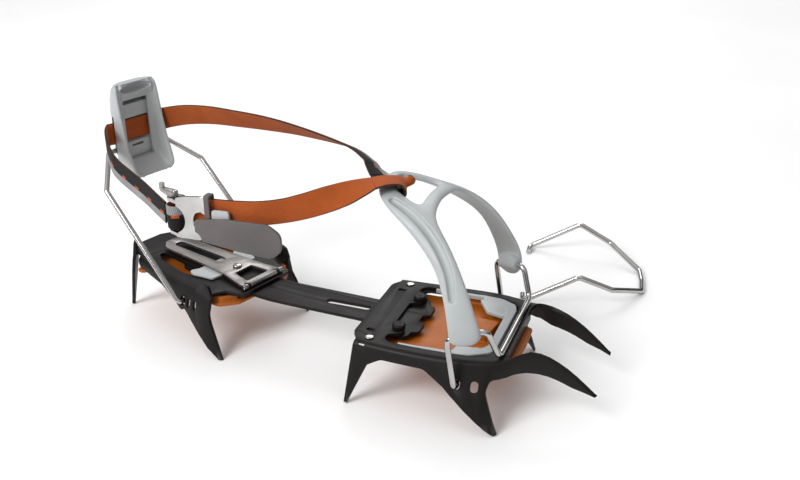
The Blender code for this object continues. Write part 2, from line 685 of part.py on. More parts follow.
def heel_plate():
    holes = [flat_hole(PEG_X, 0, 3.6, HEEL_FOLD)]
    for side in (1, -1):
        window = [(-56, 16, 4), (-56, 27, 4), (-70, 30, 6), (-98, 28, 6), (-108, 22, 5), (-106, 15, 5)]
        holes.append([(x, side * v) for x, v in rounded(window)])
        holes += [oval(x, side * v, 1.7 if i else 2.6, 3.6, 12) for i, (x, v) in enumerate(HEEL_HOLES)]
        holes.append(flat_hole(HEEL_RIVET[0], side * HEEL_RIVET[1], 1.7, HEEL_FOLD))
    bm = flat_plate([both_sides(heel_outline())] + holes, 0, STEEL)
    split_at(bm, 0, (-120, -108, -94, -80, -66, -54, -40, -30, -20))
    bends = [FOLD_V, FOLD_V + 1.6, FOLD_V + 3.3, FOLD_V + 5]
    split_at(bm, 1, bends + [-v for v in bends])
    fold_blank(bm, HEEL_FOLD, HEEL_RISE, HEEL_ANGLE)
    plate = finish("heel_plate", bm, HEEL, black_steel())
    ear = rounded([(-40, -5, 0), (-36, 3, 4), (-29, 9.6, 3), (-24, 7.5, 3), (-21.5, 1, 3), (-21.5, -5, 0)])
    for side in (1, -1):
        boolean(plate, finish("rear_point", heel_blade(side), HEEL, None), "UNION")
        boolean(plate, finish("ear", upright_plate([ear], 2.3, side * 40.2), HEEL, None), "UNION")
        lug = rounded([(-12.8, -1.2, 0), (-12.8, 4.2, 2), (-8.1, 4.2, 2), (-8.1, -1.2, 0)])
        lug = upright_plate([lug], 1.8, side * LUG_Y)
        boolean(plate, finish("lug", lug, HEEL, None), "UNION")
    pin = rod_mesh((PIVOT_X, -25, PIVOT_Z), (PIVOT_X, 25, PIVOT_Z), 1.25)
    boolean(plate, finish("lug_bore", pin, HEEL, None), "DIFFERENCE")


def heel_antisnow():
    """Orange anti-balling plate under the heel, with low side walls beside the bar."""
    half = [(-127, 0, 0), (-127, 13, 4), (-118.5, 23, 3), (-113.5, 30.5, 2), (-112, 35.5, 3), (-107, 35.5, 3),
            (-103, 30.6, 3), (-92, 31.6, 6), (-60, 35.6, 6), (-24, 37.0, 3), (-19, 36.0, 3), (-14, 30, 3),
            (-10, 24, 2), (-9, 0, 0)]
    tray = flat_plate([both_sides(rounded(half))], -6.8, 2.4)
    body = finish("heel_antisnow", tray, HEEL, orange_plastic())
    for side in (1, -1):
        wall = [(-106, 27.5, 2), (-60, 34, 6), (-30, 36, 4), (-19, 34, 3), (-14, 23, 1), (-15, 20, 1),
                (-21, 30, 3), (-30, 33, 4), (-60, 31, 6), (-106, 24.5, 1)]
        rim = flat_plate([[(x, side * y) for x, y in rounded(wall)]], -3.0, 5.0)
        boolean(body, finish("side_wall", rim, HEEL, None), "UNION")


def heel_pad():
    """Grey cross strip between the heel plate and the length lever."""
    half = [(-60, 0, 0), (-60, 17, 2), (-64, 24, 3), (-57, 26, 3), (-49, 24, 1), (-40, 22.5, 3),
            (-39, 14, 3), (-41, 6, 2), (-41, 0, 0)]
    finish("heel_pad", flat_plate([both_sides(rounded(half))], 2.3, 2.0), HEEL, grey_plastic())


def heel_rivets():
    for label, side in SIDES:
        place = (HEEL_RIVET[0], side * HEEL_RIVET[1], 0)
        turned(f"heel_rivet_{label}", rivet_profile(2.6, -5.3), HEEL, polished_steel(), place)


# --- length adjuster ---------------------------------------------------------

LEVER_TOP, LEVER_THICK, LEVER_DROP = 4.8, 2.0, 1.5


def length_lever():
    """Spring lever: a long slotted plate, its front bent down to a barrel on the pivot."""
    half = [(PIVOT_X, 0, 0), (PIVOT_X, 18.6, 0), (-15, 18.6, 1), (-36, 14.5, 12), (-62, 12.8, 8),
            (-96, 11.8, 10), (-106, 11, 8), (-113, 4.5, 5), (-113, 0, 0)]
    slot = oval(-78, 0, 26.5, 4.2)
    window = both_sides(rounded([(-30.5, 0, 0), (-30.5, 8.5, 1.5), (-14.6, 11.0, 2), (-14.6, 0, 0)]))
    outlines = [both_sides(rounded(half)), slot, window, oval(PEG_X, 0, 1.9, 1.9, 12)]
    bm = flat_plate(outlines, LEVER_TOP, LEVER_THICK)
    split_at(bm, 0, (-46, -40, -34, -28, -22, -16))
    for vert in bm.verts:
        t = min(max((vert.co.x / MM + 46) / 30, 0), 1)
        vert.co.z -= LEVER_DROP * t * t * (3 - 2 * t) * MM
    lever = finish("length_lever", bm, HEEL, satin_steel(), (PIVOT_X, 0, PIVOT_Z))
    barrel = rod_mesh((PIVOT_X, -18.6, PIVOT_Z), (PIVOT_X, 18.6, PIVOT_Z), 2.1)
    boolean(lever, finish("barrel", barrel, HEEL, None), "UNION")
    bore = rod_mesh((PIVOT_X, -25, PIVOT_Z), (PIVOT_X, 25, PIVOT_Z), 1.25)
    boolean(lever, finish("barrel_bore", bore, HEEL, None), "DIFFERENCE")
    for side in (1, -1):
        gap = box_mesh((-13.6, side * LUG_Y - 1.3, -2), (-5, side * LUG_Y + 1.3, 9))
        boolean(lever, finish("lug_gap", gap, HEEL, None), "DIFFERENCE")
    return lever


def index_peg(lever):
    """Peg riveted through the lever; its foot drops through the plate into the bar."""
    underside = LEVER_TOP - LEVER_THICK
    profile = [(1.8, LEVER_TOP + 1.4), (3.4, LEVER_TOP + 0.9), (3.4, LEVER_TOP + GAP),
               (1.6, LEVER_TOP + GAP), (1.6, underside - 0.6), (2.0, underside - 0.7), (2.0, -4.2),
               (1.5, -5.3)]
    turned("index_peg", profile, lever, polished_steel(), (PEG_X - PIVOT_X, 0, -PIVOT_Z))


def lever_pivot_pin():
    rod = rod_mesh((PIVOT_X, -20, PIVOT_Z), (PIVOT_X, 20, PIVOT_Z), 0.95)
    pin = finish("lever_pivot_pin", rod, HEEL, polished_steel())
    for side in (1, -1):
        head = rod_mesh((PIVOT_X, side * 18.9, PIVOT_Z), (PIVOT_X, side * 20.1, PIVOT_Z), 1.9)
        boolean(pin, finish("pin_head", head, HEEL, None), "UNION")


# --- heel bail and lever -----------------------------------------------------

LEVER_AXIS = (-142.8, 79.0)           # x and z of the bail's cross bar, in the heel frame


def bail_axis():
    return heel_at(HEEL_HOLES[0][0], HEEL_HOLES[0][1], -STEEL / 2)


def heel_bail():
    hole = bail_axis()
    outside = hole.y + 4.9
    half = [(hole.x, hole.y - 4.0, hole.z), (hole.x, outside, hole.z), (-121.8, 46.4, 59.0),
            (LEVER_AXIS[0], 25.5, LEVER_AXIS[1])]
    far = [Vector(p) for p in half]
    near = [Vector((p.x, -p.y, p.z)) for p in reversed(far)]
    route = filleted(far + near, 4.0)
    wire("heel_bail", route, HEEL_WIRE_R, HEEL, polished_steel(), (hole.x, 0, hole.z))


LEVER_SECTIONS = [    # z, back x, wing-tip x, face x, half width
    (59.5, -133.0, -122.0, -124.5, 16.5), (64.0, -141.5, -120.5, -126.5, 19.0),
    (72.0, -147.5, -123.0, -133.5, 20.0), (84.0, -148.8, -127.0, -136.8, 20.2),
    (100.0, -148.8, -130.0, -137.0, 20.0), (118.0, -148.0, -133.0, -137.4, 19.8),
    (126.0, -146.0, -134.5, -139.5, 19.2), (130.5, -143.5, -136.5, -140.5, 17.5)]
CAVITY = ((-146.6, -139.1), 13.2, (63.6, 121.6))      # x range, half width, z range
STRAP_X, STRAP_Z = -141.6, 93.0       # middle of the strap inside the lever


def lever_ring(z, back, tip, face, half):
    """Section of the heel lever: a C open towards the toe."""
    side = [(back, half * 0.55), (back + 3, half * 0.88), (back + 7, half), (tip - 1.2, half),
            (tip, half - 1.4), (tip - 1.6, half - 3.0), (face + 1.0, half - 6.0), (face, half - 9)]
    return [(x, y, z) for x, y in side] + [(x, -y, z) for x, y in reversed(side)]


def heel_lever():
    """Moulded lever: closed at the back, a window for the slider and a tall slot in each side."""
    rings = [lever_ring(*section) for section in LEVER_SECTIONS]
    (back, front), half, (low, high) = CAVITY
    axis = (LEVER_AXIS[0], 0, LEVER_AXIS[1])
    lever = finish("heel_lever", loft_mesh(rings), HEEL, grey_plastic(), axis)
    cavity = box_mesh((back, -half, low), (front, half, high))
    boolean(lever, finish("cavity", cavity, HEEL, None), "DIFFERENCE")
    window = box_mesh((front - 1, -9.6, 67.0), (front + 40, 9.6, high - 2.0))
    boolean(lever, finish("window", window, HEEL, None), "DIFFERENCE")
    slot = box_mesh((-145.4, -40, 72.0), (front - 0.5, 40, 106.5))
    boolean(lever, finish("side_slot", slot, HEEL, None), "DIFFERENCE")


def heel_slider():
    """Height slider in the lever: the bail's cross bar turns in its foot, the strap crosses its waist."""
    (back, front), half, _ = CAVITY
    half -= GAP
    body = box_mesh((back + GAP, -half, 68.0), (back + 2.6, half, 117.0))
    axis = (LEVER_AXIS[0], 0, LEVER_AXIS[1])
    slider = finish("heel_slider", body, HEEL, grey_plastic(), axis)
    for bottom, top, pad_bottom in ((68.2, 83.4, 71.4), (102.6, 116.8, 102.8)):
        block = box_mesh((back + 1.0, 0.1 - half, bottom), (front - GAP, half - 0.1, top))
        boolean(slider, finish("block", block, HEEL, None), "UNION")
        pad = box_mesh((back + 1.2, -9.2, pad_bottom), (front + 1.7, 9.2, top - 0.2))
        boolean(slider, finish("pad", pad, HEEL, None), "UNION")
    notch = box_mesh((front - 0.4, -5, 79.8), (front + 5, 5, 81.4))
    boolean(slider, finish("notch", notch, HEEL, None), "DIFFERENCE")
    reach = Vector((0, 40, 0))
    bore = rod_mesh(Vector(axis) - reach, Vector(axis) + reach, HEEL_WIRE_R + 0.4)
    boolean(slider, finish("wire_bore", bore, HEEL, None), "DIFFERENCE")


# --- strap and buckle --------------------------------------------------------

def heel_world(x, y, z):
    return Vector((*heel_to_front(x, y), z))


def strap_piece(name, route, sides, look=None, steps=5):
    path = smooth_path(route, steps)
    spans = smooth_path(sides, steps)
    bm = band_mesh(path, spans, STRAP_WIDTH, STRAP_THICK)
    return finish(name, bm, FRONT, look or webbing())


def strap_in_lever():
    """The length of strap that crosses the slider's waist."""
    route = [Vector((STRAP_X, y, STRAP_Z)) for y in (-20.5, 20.5)]
    bm = band_mesh(route, [(0, 0, 1)] * 2, STRAP_WIDTH, STRAP_THICK)
    finish("strap_in_lever", bm, HEEL, webbing())


FAR_STRAP = [tuple(heel_world(STRAP_X, 20.9, STRAP_Z)), tuple(heel_world(STRAP_X, 24.5, STRAP_Z + 0.2)),
             (-217, 66, 97), (-195, 63.5, 104.5), (-171, 60, 108), (-146, 55.5, 109.5), (-118, 51, 109.8),
             (-87, 46, 108.2), (-46, 35.5, 104), (-27, 27, 98.5), (-19.5, 20.5, 95.4), (-12.6, 13.7, 94)]
FAR_SIDES = [(0, 0, 1), (0, 0, 1), (0, -0.1, 1), (0, -0.2, 1), (0, -0.28, 1), (0, -0.36, 1), (0, -0.5, 1),
             (0, -0.7, 1), (-0.1, -0.9, 0.7), (-0.35, -0.88, 0.4), (-0.55, -0.8, 0.25), (-0.65, -0.76, 0)]
FOLD_STRAP = [(-11.4, 12.5, 93.8), (-3, 5.5, 92.8), (6, -1.5, 93.4), (13.5, -7, 97.2), (9.5, -11, 102),
              (2.5, -16, 103), (-4, -20.5, 102)]
FOLD_SIDES = [(-0.65, -0.76, 0), (-0.6, -0.8, 0), (-0.5, -0.85, 0), (0, -1, 0), (0.5, -0.85, 0),
              (0.6, -0.8, 0), (0.6, -0.8, -0.05)]
NEAR_STRAP = [(-4.6, -20.9, 101.8), (-12, -25.8, 99.2), (-20, -30.5, 96.2), (-31, -36, 92.5),
              (-42.5, -42, 89), (-56, -46.5, 85.5), (-72, -50, 82.8), (-90, -51.2, 81.2),
              (-104, -51.2, 80.3), (-121, -50.6, 78)]
NEAR_SIDES = [(-0.6, 0.8, 0.05), (-0.55, 0.75, 0.4), (-0.4, 0.6, 0.7), (-0.2, 0.35, 0.9),
              (-0.1, 0.15, 1), (0, 0, 1), (0, 0, 1), (0, 0, 1), (0, 0, 1), (0, 0, 1)]
REAR_STRAP = [tuple(heel_world(STRAP_X, -20.9, STRAP_Z)), tuple(heel_world(STRAP_X, -25, STRAP_Z - 0.2)),
              (-229.5, 8.5, 91.5), (-218, -3, 84.5), (-208.5, -9, 80), (-191, -19, 77.5), (-173, -29, 75),
              (-157.5, -38.5, 72.5), (-145.6, -45.6, 70.5)]
REAR_SIDES = [(0, 0, 1)] * 9


def strap_far():
    strap_piece("strap_far", FAR_STRAP, FAR_SIDES)


def strap_fold():
    """The strap's turn through the harness and back over its rear loop."""
    strap_piece("strap_fold", FOLD_STRAP, FOLD_SIDES)


def strap_near():
    strap_piece("strap_near", NEAR_STRAP, NEAR_SIDES)


def strap_rear():
    strap_piece("strap_rear", REAR_STRAP, REAR_SIDES)


PIN_X, PIN_Y = -136.5, -46.5
PIN_LOW, PIN_HIGH = 54.5, 88.6


def buckle_pin():
    run = [(PIN_X, PIN_Y, PIN_LOW), (PIN_X, PIN_Y, PIN_HIGH)]
    wire("buckle_pin", run, 1.6, FRONT, polished_steel(), (PIN_X, PIN_Y, 0))


def strap_loop():
    """Sewn loop at the end of the rear strap, round the buckle's pin."""
    profile = [(6.2, 79.6), (6.6, 79.0), (6.6, 62.0), (6.2, 61.4)]
    loop = turned("strap_loop", profile, FRONT, webbing(), (PIN_X, PIN_Y, 0), 24)
    hole = rod_mesh((PIN_X, PIN_Y, 50), (PIN_X, PIN_Y, 90), 2.0)
    boolean(loop, finish("pin_hole", hole, FRONT, None), "DIFFERENCE")


BUCKLE_FACE = -52.6


def buckle_frame():
    """Polished C-shaped frame; its two ears hold the pin."""
    face = [(-131, 87, 2), (-124, 88.6, 3), (-109, 90.4, 5), (-106.2, 84, 4), (-108.6, 77.2, 1),
            (-112.4, 79.4, 1), (-117, 78, 4), (-119.4, 71, 5), (-116.6, 65.4, 4), (-112, 60.6, 1),
            (-114.5, 58.6, 1), (-124, 58.6, 3), (-131, 58.0, 2)]
    bm = upright_plate([rounded(face)], 2.2, BUCKLE_FACE - 1.1)
    frame = finish("buckle_frame", bm, FRONT, polished_steel())
    root = BUCKLE_FACE - 1.6
    ear = rounded([(-141, -42.5, 3), (-141, -50.5, 3), (-131, root, 1), (-124, root, 1), (-131, -42.5, 3)])
    hole = oval(PIN_X, PIN_Y, 2.0, 2.0, 12)
    for low, high in ((82.2, 84.4), (58.4, 60.6)):
        blank = flat_plate([ear, hole], high, high - low)
        boolean(frame, finish("ear", blank, FRONT, None), "UNION")


def buckle_lever():
    """Cam lever that locks the strap; it turns on the buckle's pin above the loop."""
    arm = [(-136.5, -42.8, 3.5), (-149.5, -40.6, 1.5), (-150.5, -43.0, 1.0), (-140.5, -49.6, 3.5),
           (-136.5, -50.2, 3.5), (-132.9, -46.5, 3.5)]
    body = flat_plate([rounded(arm), oval(PIN_X, PIN_Y, 2.0, 2.0, 12)], 87.4, 2.4)
    lever = finish("buckle_lever", body, FRONT, polished_steel(), (PIN_X, PIN_Y, 0))
    tip = box_mesh((-150.4, -43.4, 86.0), (-147.6, -40.8, 90.6))
    boolean(lever, finish("finger_tab", tip, FRONT, None), "UNION")


def keeper_loop(name, x, y, z, look):
    """Flat plastic loop round the strap: x, y and z are its ranges."""
    wall = 1.3
    (y0, y1), (z0, z1) = y, z
    outer = rounded([(y0, z0, 2), (y1, z0, 2), (y1, z1, 2), (y0, z1, 2)])
    inner = rounded([(y0 + wall, z0 + wall, 1), (y1 - wall, z0 + wall, 1), (y1 - wall, z1 - wall, 1),
                     (y0 + wall, z1 - wall, 1)])
    bm = flat_plate([outer, inner], (x[1] - x[0]) / 2, x[1] - x[0])
    stand = Matrix(((0, 0, 1, (x[0] + x[1]) / 2 * MM), (1, 0, 0, 0), (0, 1, 0, 0), (0, 0, 0, 1)))
    bmesh.ops.transform(bm, matrix=stand, verts=bm.verts)
    bmesh.ops.recalc_face_normals(bm, faces=bm.faces)
    finish(name, bm, FRONT, look)


def strap_keeper():
    keeper_loop("strap_keeper", (-108.5, -104.5), (-56.6, -48.8), (69.6, 92.2), tab_rubber())


def tail_clip():
    """Grey plate that joins the tab to the strap's tail."""
    clip = rounded([(-103.6, 66, 1), (-103.6, 82.4, 2), (-91, 83.0, 2), (-90, 66, 1)])
    finish("tail_clip", upright_plate([clip], 2.0, -54.9), FRONT, grey_plastic())


def strap_tail():
    """Broad moulded tab on the strap's free end."""
    outline = [(-115.5, 75.0, 3), (-92, 78.5, 10), (-62, 79.5, 8), (-52.5, 74, 8), (-52, 62, 9),
               (-60, 55.6, 9), (-84, 57, 12), (-115.5, 60.5, 3)]
    bm = upright_plate([rounded(outline, 5)], 2.2, -57.8)
    finish("strap_tail", bm, FRONT, tab_rubber())


# --- spare toe bail ----------------------------------------------------------

SPARE_PLACE = (100.0, 182.0)
SPARE_YAW = radians(10)


def spare_bail():
    """Wire toe bail for a boot with a front welt, resting on its two feet and its cross bar."""
    low = -PLATE_HEIGHT + SPARE_WIRE_R
    half = [(-44.0, 41.0, low), (-43.3, 52.5, low), (0, 52.0, low + 25), (27.0, 45.0, low + 12.5),
            (52.0, 19.0, low + 0.4), (53.0, 0, low)]
    far = [Vector(p) for p in half]
    near = [Vector((p.x, -p.y, p.z)) for p in reversed(far[:-1])]
    frame = frame_empty("spare_frame", FRONT, (*SPARE_PLACE, 0), SPARE_YAW)
    wire("spare_bail", filleted(far + near, 6.0), SPARE_WIRE_R, frame, polished_steel())


def build():
    front_plate()
    front_antisnow()
    toe_pad()
    front_rivets()
    linking_bar()
    bar_collars()
    toe_wire()
    toe_harness()
    heel_plate()
    heel_antisnow()
    heel_pad()
    heel_rivets()
    index_peg(length_lever())
    lever_pivot_pin()
    heel_bail()
    heel_lever()
    heel_slider()
    strap_in_lever()
    strap_far()
    strap_fold()
    strap_near()
    strap_rear()
    strap_loop()
    buckle_pin()
    buckle_frame()
    buckle_lever()
    strap_keeper()
    tail_clip()
    strap_tail()
    spare_bail()


build()
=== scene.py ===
import json
from math import atan2, cos, pi, radians, sin, tan

import bmesh
import bpy
from mathutils import Matrix, Vector


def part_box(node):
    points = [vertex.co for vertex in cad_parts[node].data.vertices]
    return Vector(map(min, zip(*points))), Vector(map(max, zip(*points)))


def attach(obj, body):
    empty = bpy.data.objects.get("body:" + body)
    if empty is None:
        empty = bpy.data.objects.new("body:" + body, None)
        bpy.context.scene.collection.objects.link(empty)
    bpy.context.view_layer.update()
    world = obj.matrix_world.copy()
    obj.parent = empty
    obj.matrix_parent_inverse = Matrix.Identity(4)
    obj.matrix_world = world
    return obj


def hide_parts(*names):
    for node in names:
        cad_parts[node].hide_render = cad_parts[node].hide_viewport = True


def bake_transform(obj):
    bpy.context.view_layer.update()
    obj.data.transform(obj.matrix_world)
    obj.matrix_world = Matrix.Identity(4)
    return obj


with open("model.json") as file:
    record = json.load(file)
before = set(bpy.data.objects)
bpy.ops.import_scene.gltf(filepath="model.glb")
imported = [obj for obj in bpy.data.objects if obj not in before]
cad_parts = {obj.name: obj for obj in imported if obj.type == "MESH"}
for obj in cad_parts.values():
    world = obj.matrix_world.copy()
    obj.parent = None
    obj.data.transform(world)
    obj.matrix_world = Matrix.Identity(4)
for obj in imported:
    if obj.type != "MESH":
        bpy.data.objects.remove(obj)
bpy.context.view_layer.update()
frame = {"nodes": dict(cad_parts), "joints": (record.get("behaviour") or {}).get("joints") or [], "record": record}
NODES = frame["nodes"]
JOINTS = {joint["name"]: joint for joint in frame["joints"]}

# A strap-on crampon and its spare toe bail. Shapes are in millimetres, in one of three design frames:
# the front section's, the heel section's, which is turned and moved against it, and the spare bail's.
MM = 0.001
PLATE_TOP = frame["record"]["mounts"][0]["pos_m"][2]
FRONT = Matrix.Translation((0.0421, -0.0862, PLATE_TOP))
HEEL_PIVOT = Vector((-95.0, 4.1, 0.0)) * MM
HEEL_YAW = atan2(JOINTS["length_slide"]["axis"][1], JOINTS["length_slide"]["axis"][0])
HEEL = FRONT @ Matrix.Translation(HEEL_PIVOT) @ Matrix.Rotation(HEEL_YAW, 4, "Z")
SPARE = FRONT @ Matrix.Translation((0.1, 0.182, 0)) @ Matrix.Rotation(radians(10), 4, "Z")
WIRE_R, SPARE_WIRE_R = 2.0, 2.25
STRAP_WIDTH, STRAP_THICK = 17.0, 1.6


# --- materials ---------------------------------------------------------------

def add_node(tree, kind, inputs=None, **settings):
    """New shader node; each input is a value or another node's output."""
    made = tree.nodes.new("ShaderNode" + kind)
    for key, value in settings.items():
        setattr(made, key, value)
    for key, value in (inputs or {}).items():
        if isinstance(value, bpy.types.NodeSocket):
            tree.links.new(value, made.inputs[key])
        else:
            made.inputs[key].default_value = value
    return made


def set_stops(ramp, stops):
    """Give a colour ramp its stops, each (position, (red, green, blue))."""
    elements = ramp.color_ramp.elements
    while len(elements) < len(stops):
        elements.new(0.5)
    for element, (position, colour) in zip(elements, stops):
        element.position = position
        element.color = (*colour, 1)


class Look:
    """A material under construction: a Principled shader and the nodes that feed it."""

    def __init__(self, name, roughness=0.5, metallic=0.0, **fixed):
        self.material = bpy.data.materials.new(name)
        self.material.use_nodes = True
        self.tree = self.material.node_tree
        self.shader = self.tree.nodes["Principled BSDF"]
        self.shader.inputs["Roughness"].default_value = roughness
        self.shader.inputs["Metallic"].default_value = metallic
        for socket, value in fixed.items():
            self.shader.inputs[socket.replace("_", " ")].default_value = value

    def node(self, kind, inputs=None, **settings):
        return add_node(self.tree, kind, inputs, **settings)

    def place(self, scale=(1, 1, 1), uv=False, turn=0.0):
        """Coordinates in metres, scaled; uv gives the strap's own length and width."""
        source = self.node("TexCoord").outputs["UV" if uv else "Object"]
        inputs = {"Vector": source, "Scale": scale, "Rotation": (0, 0, turn)}
        return self.node("Mapping", inputs).outputs["Vector"]

    def noise(self, scale, detail, vector=None):
        inputs = {"Vector": vector or self.place(), "Scale": scale, "Detail": detail}
        return self.node("TexNoise", inputs).outputs["Fac"]

    def ramp(self, value, stops):
        made = self.node("ValToRGB", {"Fac": value})
        set_stops(made, stops)
        return made.outputs["Color"]

    def span(self, value, low, high, out_low=0.0, out_high=1.0):
        """The value's range from low to high, stretched to another range and clamped to it."""
        inputs = {"Value": value, "From Min": low, "From Max": high,
                  "To Min": out_low, "To Max": out_high}
        return self.node("MapRange", inputs).outputs["Result"]

    def maths(self, operation, a, b=0.0):
        return self.node("Math", {0: a, 1: b}, operation=operation).outputs[0]

    def mix(self, factor, first, second):
        """Colour from first to second; each is a node's output or (red, green, blue)."""
        first, second = (c if isinstance(c, bpy.types.NodeSocket) else (*c, 1) for c in (first, second))
        return self.node("Mix", {0: factor, 6: first, 7: second}, data_type="RGBA").outputs[2]

    def bump(self, height, strength, distance):
        """Add a bump on top of those that the shader has."""
        inputs = {"Height": height, "Strength": strength, "Distance": distance}
        before = self.shader.inputs["Normal"].links
        if before:
            inputs["Normal"] = before[0].from_socket
        self.feed("Normal", self.node("Bump", inputs).outputs["Normal"])

    def feed(self, socket, value):
        self.tree.links.new(value, self.shader.inputs[socket])


def black_steel():
    """Dark brown-black baked paint: faint orange peel, and points scuffed towards their tips."""
    look = Look("black_steel", Specular_IOR_Level=0.19)
    cloud = look.noise(38, 4)
    colour = look.ramp(cloud, [(0.3, (0.0062, 0.0047, 0.0045)), (0.7, (0.0088, 0.0067, 0.0064))])
    height = look.node("SeparateXYZ", {0: look.place()}).outputs["Z"]
    near_tip = look.span(height, 0.001, 0.010, 1.0, 0.0)
    scratched = look.span(look.noise(170, 6, look.place((1, 1, 0.25))), 0.45, 0.62)
    worn = look.maths("MULTIPLY", near_tip, scratched)
    look.feed("Base Color", look.mix(worn, colour, (0.060, 0.056, 0.054)))
    look.feed("Roughness", look.span(look.noise(60, 4), 0.3, 0.7, 0.41, 0.49))
    look.bump(look.noise(900, 2), 0.08, 0.0003)
    return look.material


def polished_steel():
    """Bright stainless wire and pressings, with slight unevenness in tone and gloss."""
    look = Look("polished_steel", metallic=1.0)
    cloud = look.noise(70, 3)
    look.feed("Base Color", look.ramp(cloud, [(0.3, (0.42, 0.41, 0.405)), (0.7, (0.52, 0.51, 0.50))]))
    look.feed("Roughness", look.span(look.noise(90, 3), 0.3, 0.75, 0.09, 0.14))
    look.bump(look.noise(1400, 2), 0.02, 0.0001)
    return look.material


def satin_steel():
    """Stamped stainless plate, brushed along the length lever."""
    look = Look("satin_steel", metallic=0.95)
    grain = look.noise(60, 5, look.place((1.2, 26, 26), turn=-HEEL_YAW))
    look.feed("Base Color", look.ramp(grain, [(0.3, (0.26, 0.245, 0.235)), (0.7, (0.38, 0.36, 0.345))]))
    look.feed("Roughness", look.span(grain, 0.3, 0.7, 0.30, 0.46))
    look.bump(grain, 0.14, 0.0002)
    return look.material


def moulded(name, dark, light, roughness, specular=0.45, **fixed):
    """Injection-moulded plastic: soft mottling and a fine spark-eroded grain."""
    look = Look(name, Specular_IOR_Level=specular, **fixed)
    look.feed("Base Color", look.ramp(look.noise(26, 3), [(0.3, dark), (0.7, light)]))
    look.feed("Roughness", look.span(look.noise(120, 4), 0.3, 0.7, roughness - 0.06, roughness + 0.07))
    look.bump(look.noise(1500, 2), 0.16, 0.0002)
    return look.material


def webbing(name, sheen):
    """Matt woven look, with its yarns and its places along and across the strap in metres."""
    look = Look(name, roughness=0.85, Specular_IOR_Level=0.2, Sheen_Weight=sheen, Sheen_Roughness=0.5)
    slanted = look.place(uv=True, turn=radians(18))
    ribs = look.node("TexWave", {"Vector": slanted, "Scale": 260.0, "Distortion": 0.6, "Detail": 1.0},
                     bands_direction="X").outputs["Fac"]
    cross = look.node("TexWave", {"Vector": slanted, "Scale": 190.0, "Distortion": 0.4, "Detail": 1.0},
                      bands_direction="Y").outputs["Fac"]
    yarn = look.maths("MULTIPLY", ribs, look.span(cross, 0, 1, 0.45, 1))
    place = look.node("SeparateXYZ", {0: look.place(uv=True)})
    return look, yarn, place.outputs["X"], place.outputs["Y"]


SELVAGE_FROM, SELVAGE_FULL = 0.468, 0.482    # from the centre line, as shares of the strap's width


def webbing_orange():
    """Inner face of the webbing: rust orange with thin dark selvages."""
    look, yarn, _, across = webbing("webbing_orange", 0.06)
    base = look.ramp(look.noise(55, 4), [(0.25, (0.33, 0.066, 0.0105)), (0.75, (0.44, 0.094, 0.0155))])
    # The weave's hollows are darkened towards deep orange: painted shade between the yarns.
    shaded = look.mix(look.span(yarn, 0, 1, 0.34, 0.0), base, (0.15, 0.03, 0.006))
    off_centre = look.maths("ABSOLUTE", look.maths("SUBTRACT", across, STRAP_WIDTH * MM / 2))
    selvage = look.span(off_centre, STRAP_WIDTH * MM * SELVAGE_FROM, STRAP_WIDTH * MM * SELVAGE_FULL)
    look.feed("Base Color", look.mix(selvage, shaded, (0.022, 0.018, 0.017)))
    look.bump(yarn, 0.5, 0.0003)
    look.bump(look.noise(2600, 3), 0.25, 0.0002)
    return look.material


# The patterned face, in shares of the strap's width from its lower edge; the dashes' pitch is in metres.
GREY_FROM, GREY_FULL = 0.37, 0.385
DASH_CENTRE, DASH_HALF = 0.425, 0.07
DASH_PITCH, DASH_SHARE = 0.0195, 0.26
RIM_FROM = 0.98


def webbing_pattern():
    """Outer face: black half, a line of orange dashes, light grey half, thin orange rim."""
    look, yarn, along, across = webbing("webbing_pattern", 0.04)
    across = look.maths("DIVIDE", across, STRAP_WIDTH * MM)
    level = look.span(look.noise(60, 4), 0.3, 0.7, 0.27, 0.34)
    grey = look.node("CombineColor", {0: level, 1: level, 2: level}).outputs[0]
    colour = look.mix(look.span(across, GREY_FROM, GREY_FULL), grey, (0.0078, 0.0065, 0.0063))
    off_line = look.maths("ABSOLUTE", look.maths("SUBTRACT", across, DASH_CENTRE))
    beat = look.maths("FRACT", look.maths("MULTIPLY", along, 1 / DASH_PITCH))
    dash = look.maths("MULTIPLY", look.maths("LESS_THAN", off_line, DASH_HALF),
                      look.maths("LESS_THAN", beat, DASH_SHARE))
    colour = look.mix(dash, colour, (0.50, 0.10, 0.025))
    colour = look.mix(look.maths("GREATER_THAN", across, RIM_FROM), colour, (0.09, 0.028, 0.009))
    # The weave's hollows are darkened towards black: painted shade between the yarns.
    look.feed("Base Color", look.mix(look.span(yarn, 0, 1, 0.4, 0.0), colour, (0.008, 0.007, 0.007)))
    look.bump(yarn, 0.5, 0.0003)
    return look.material


# By the record's slot that the pieces use; both faces of the webbing belong to its webbing slot.
LOOKS = {
    "black_steel": black_steel(),
    "polished_steel": polished_steel(),
    "satin_steel": satin_steel(),
    "grey_plastic": moulded("grey_plastic", (0.35, 0.37, 0.375), (0.41, 0.43, 0.435), 0.42,
                            Coat_Weight=0.06, Coat_Roughness=0.4),
    "orange_plastic": moulded("orange_plastic", (0.31, 0.078, 0.006), (0.39, 0.105, 0.009), 0.46,
                              specular=0.25, Subsurface_Weight=0.08, Subsurface_Scale=0.003),
    "tab_rubber": moulded("tab_rubber", (0.070, 0.062, 0.060), (0.105, 0.094, 0.092), 0.58),
    "webbing_orange": webbing_orange(),
    "webbing_pattern": webbing_pattern()}


# --- curves and outlines -----------------------------------------------------

def smooth_path(points, steps):
    """Catmull-Rom curve through the points."""
    p = [Vector(q) for q in points]
    p = [2 * p[0] - p[1]] + p + [2 * p[-1] - p[-2]]
    out = []
    for i in range(1, len(p) - 2):
        for k in range(steps):
            t = k / steps
            out.append(0.5 * (2 * p[i] + (p[i + 1] - p[i - 1]) * t
                              + (2 * p[i - 1] - 5 * p[i] + 4 * p[i + 1] - p[i + 2]) * t**2
                              + (3 * p[i] - 3 * p[i + 1] + p[i + 2] - p[i - 1]) * t**3))
    out.append(p[-2])
    return out


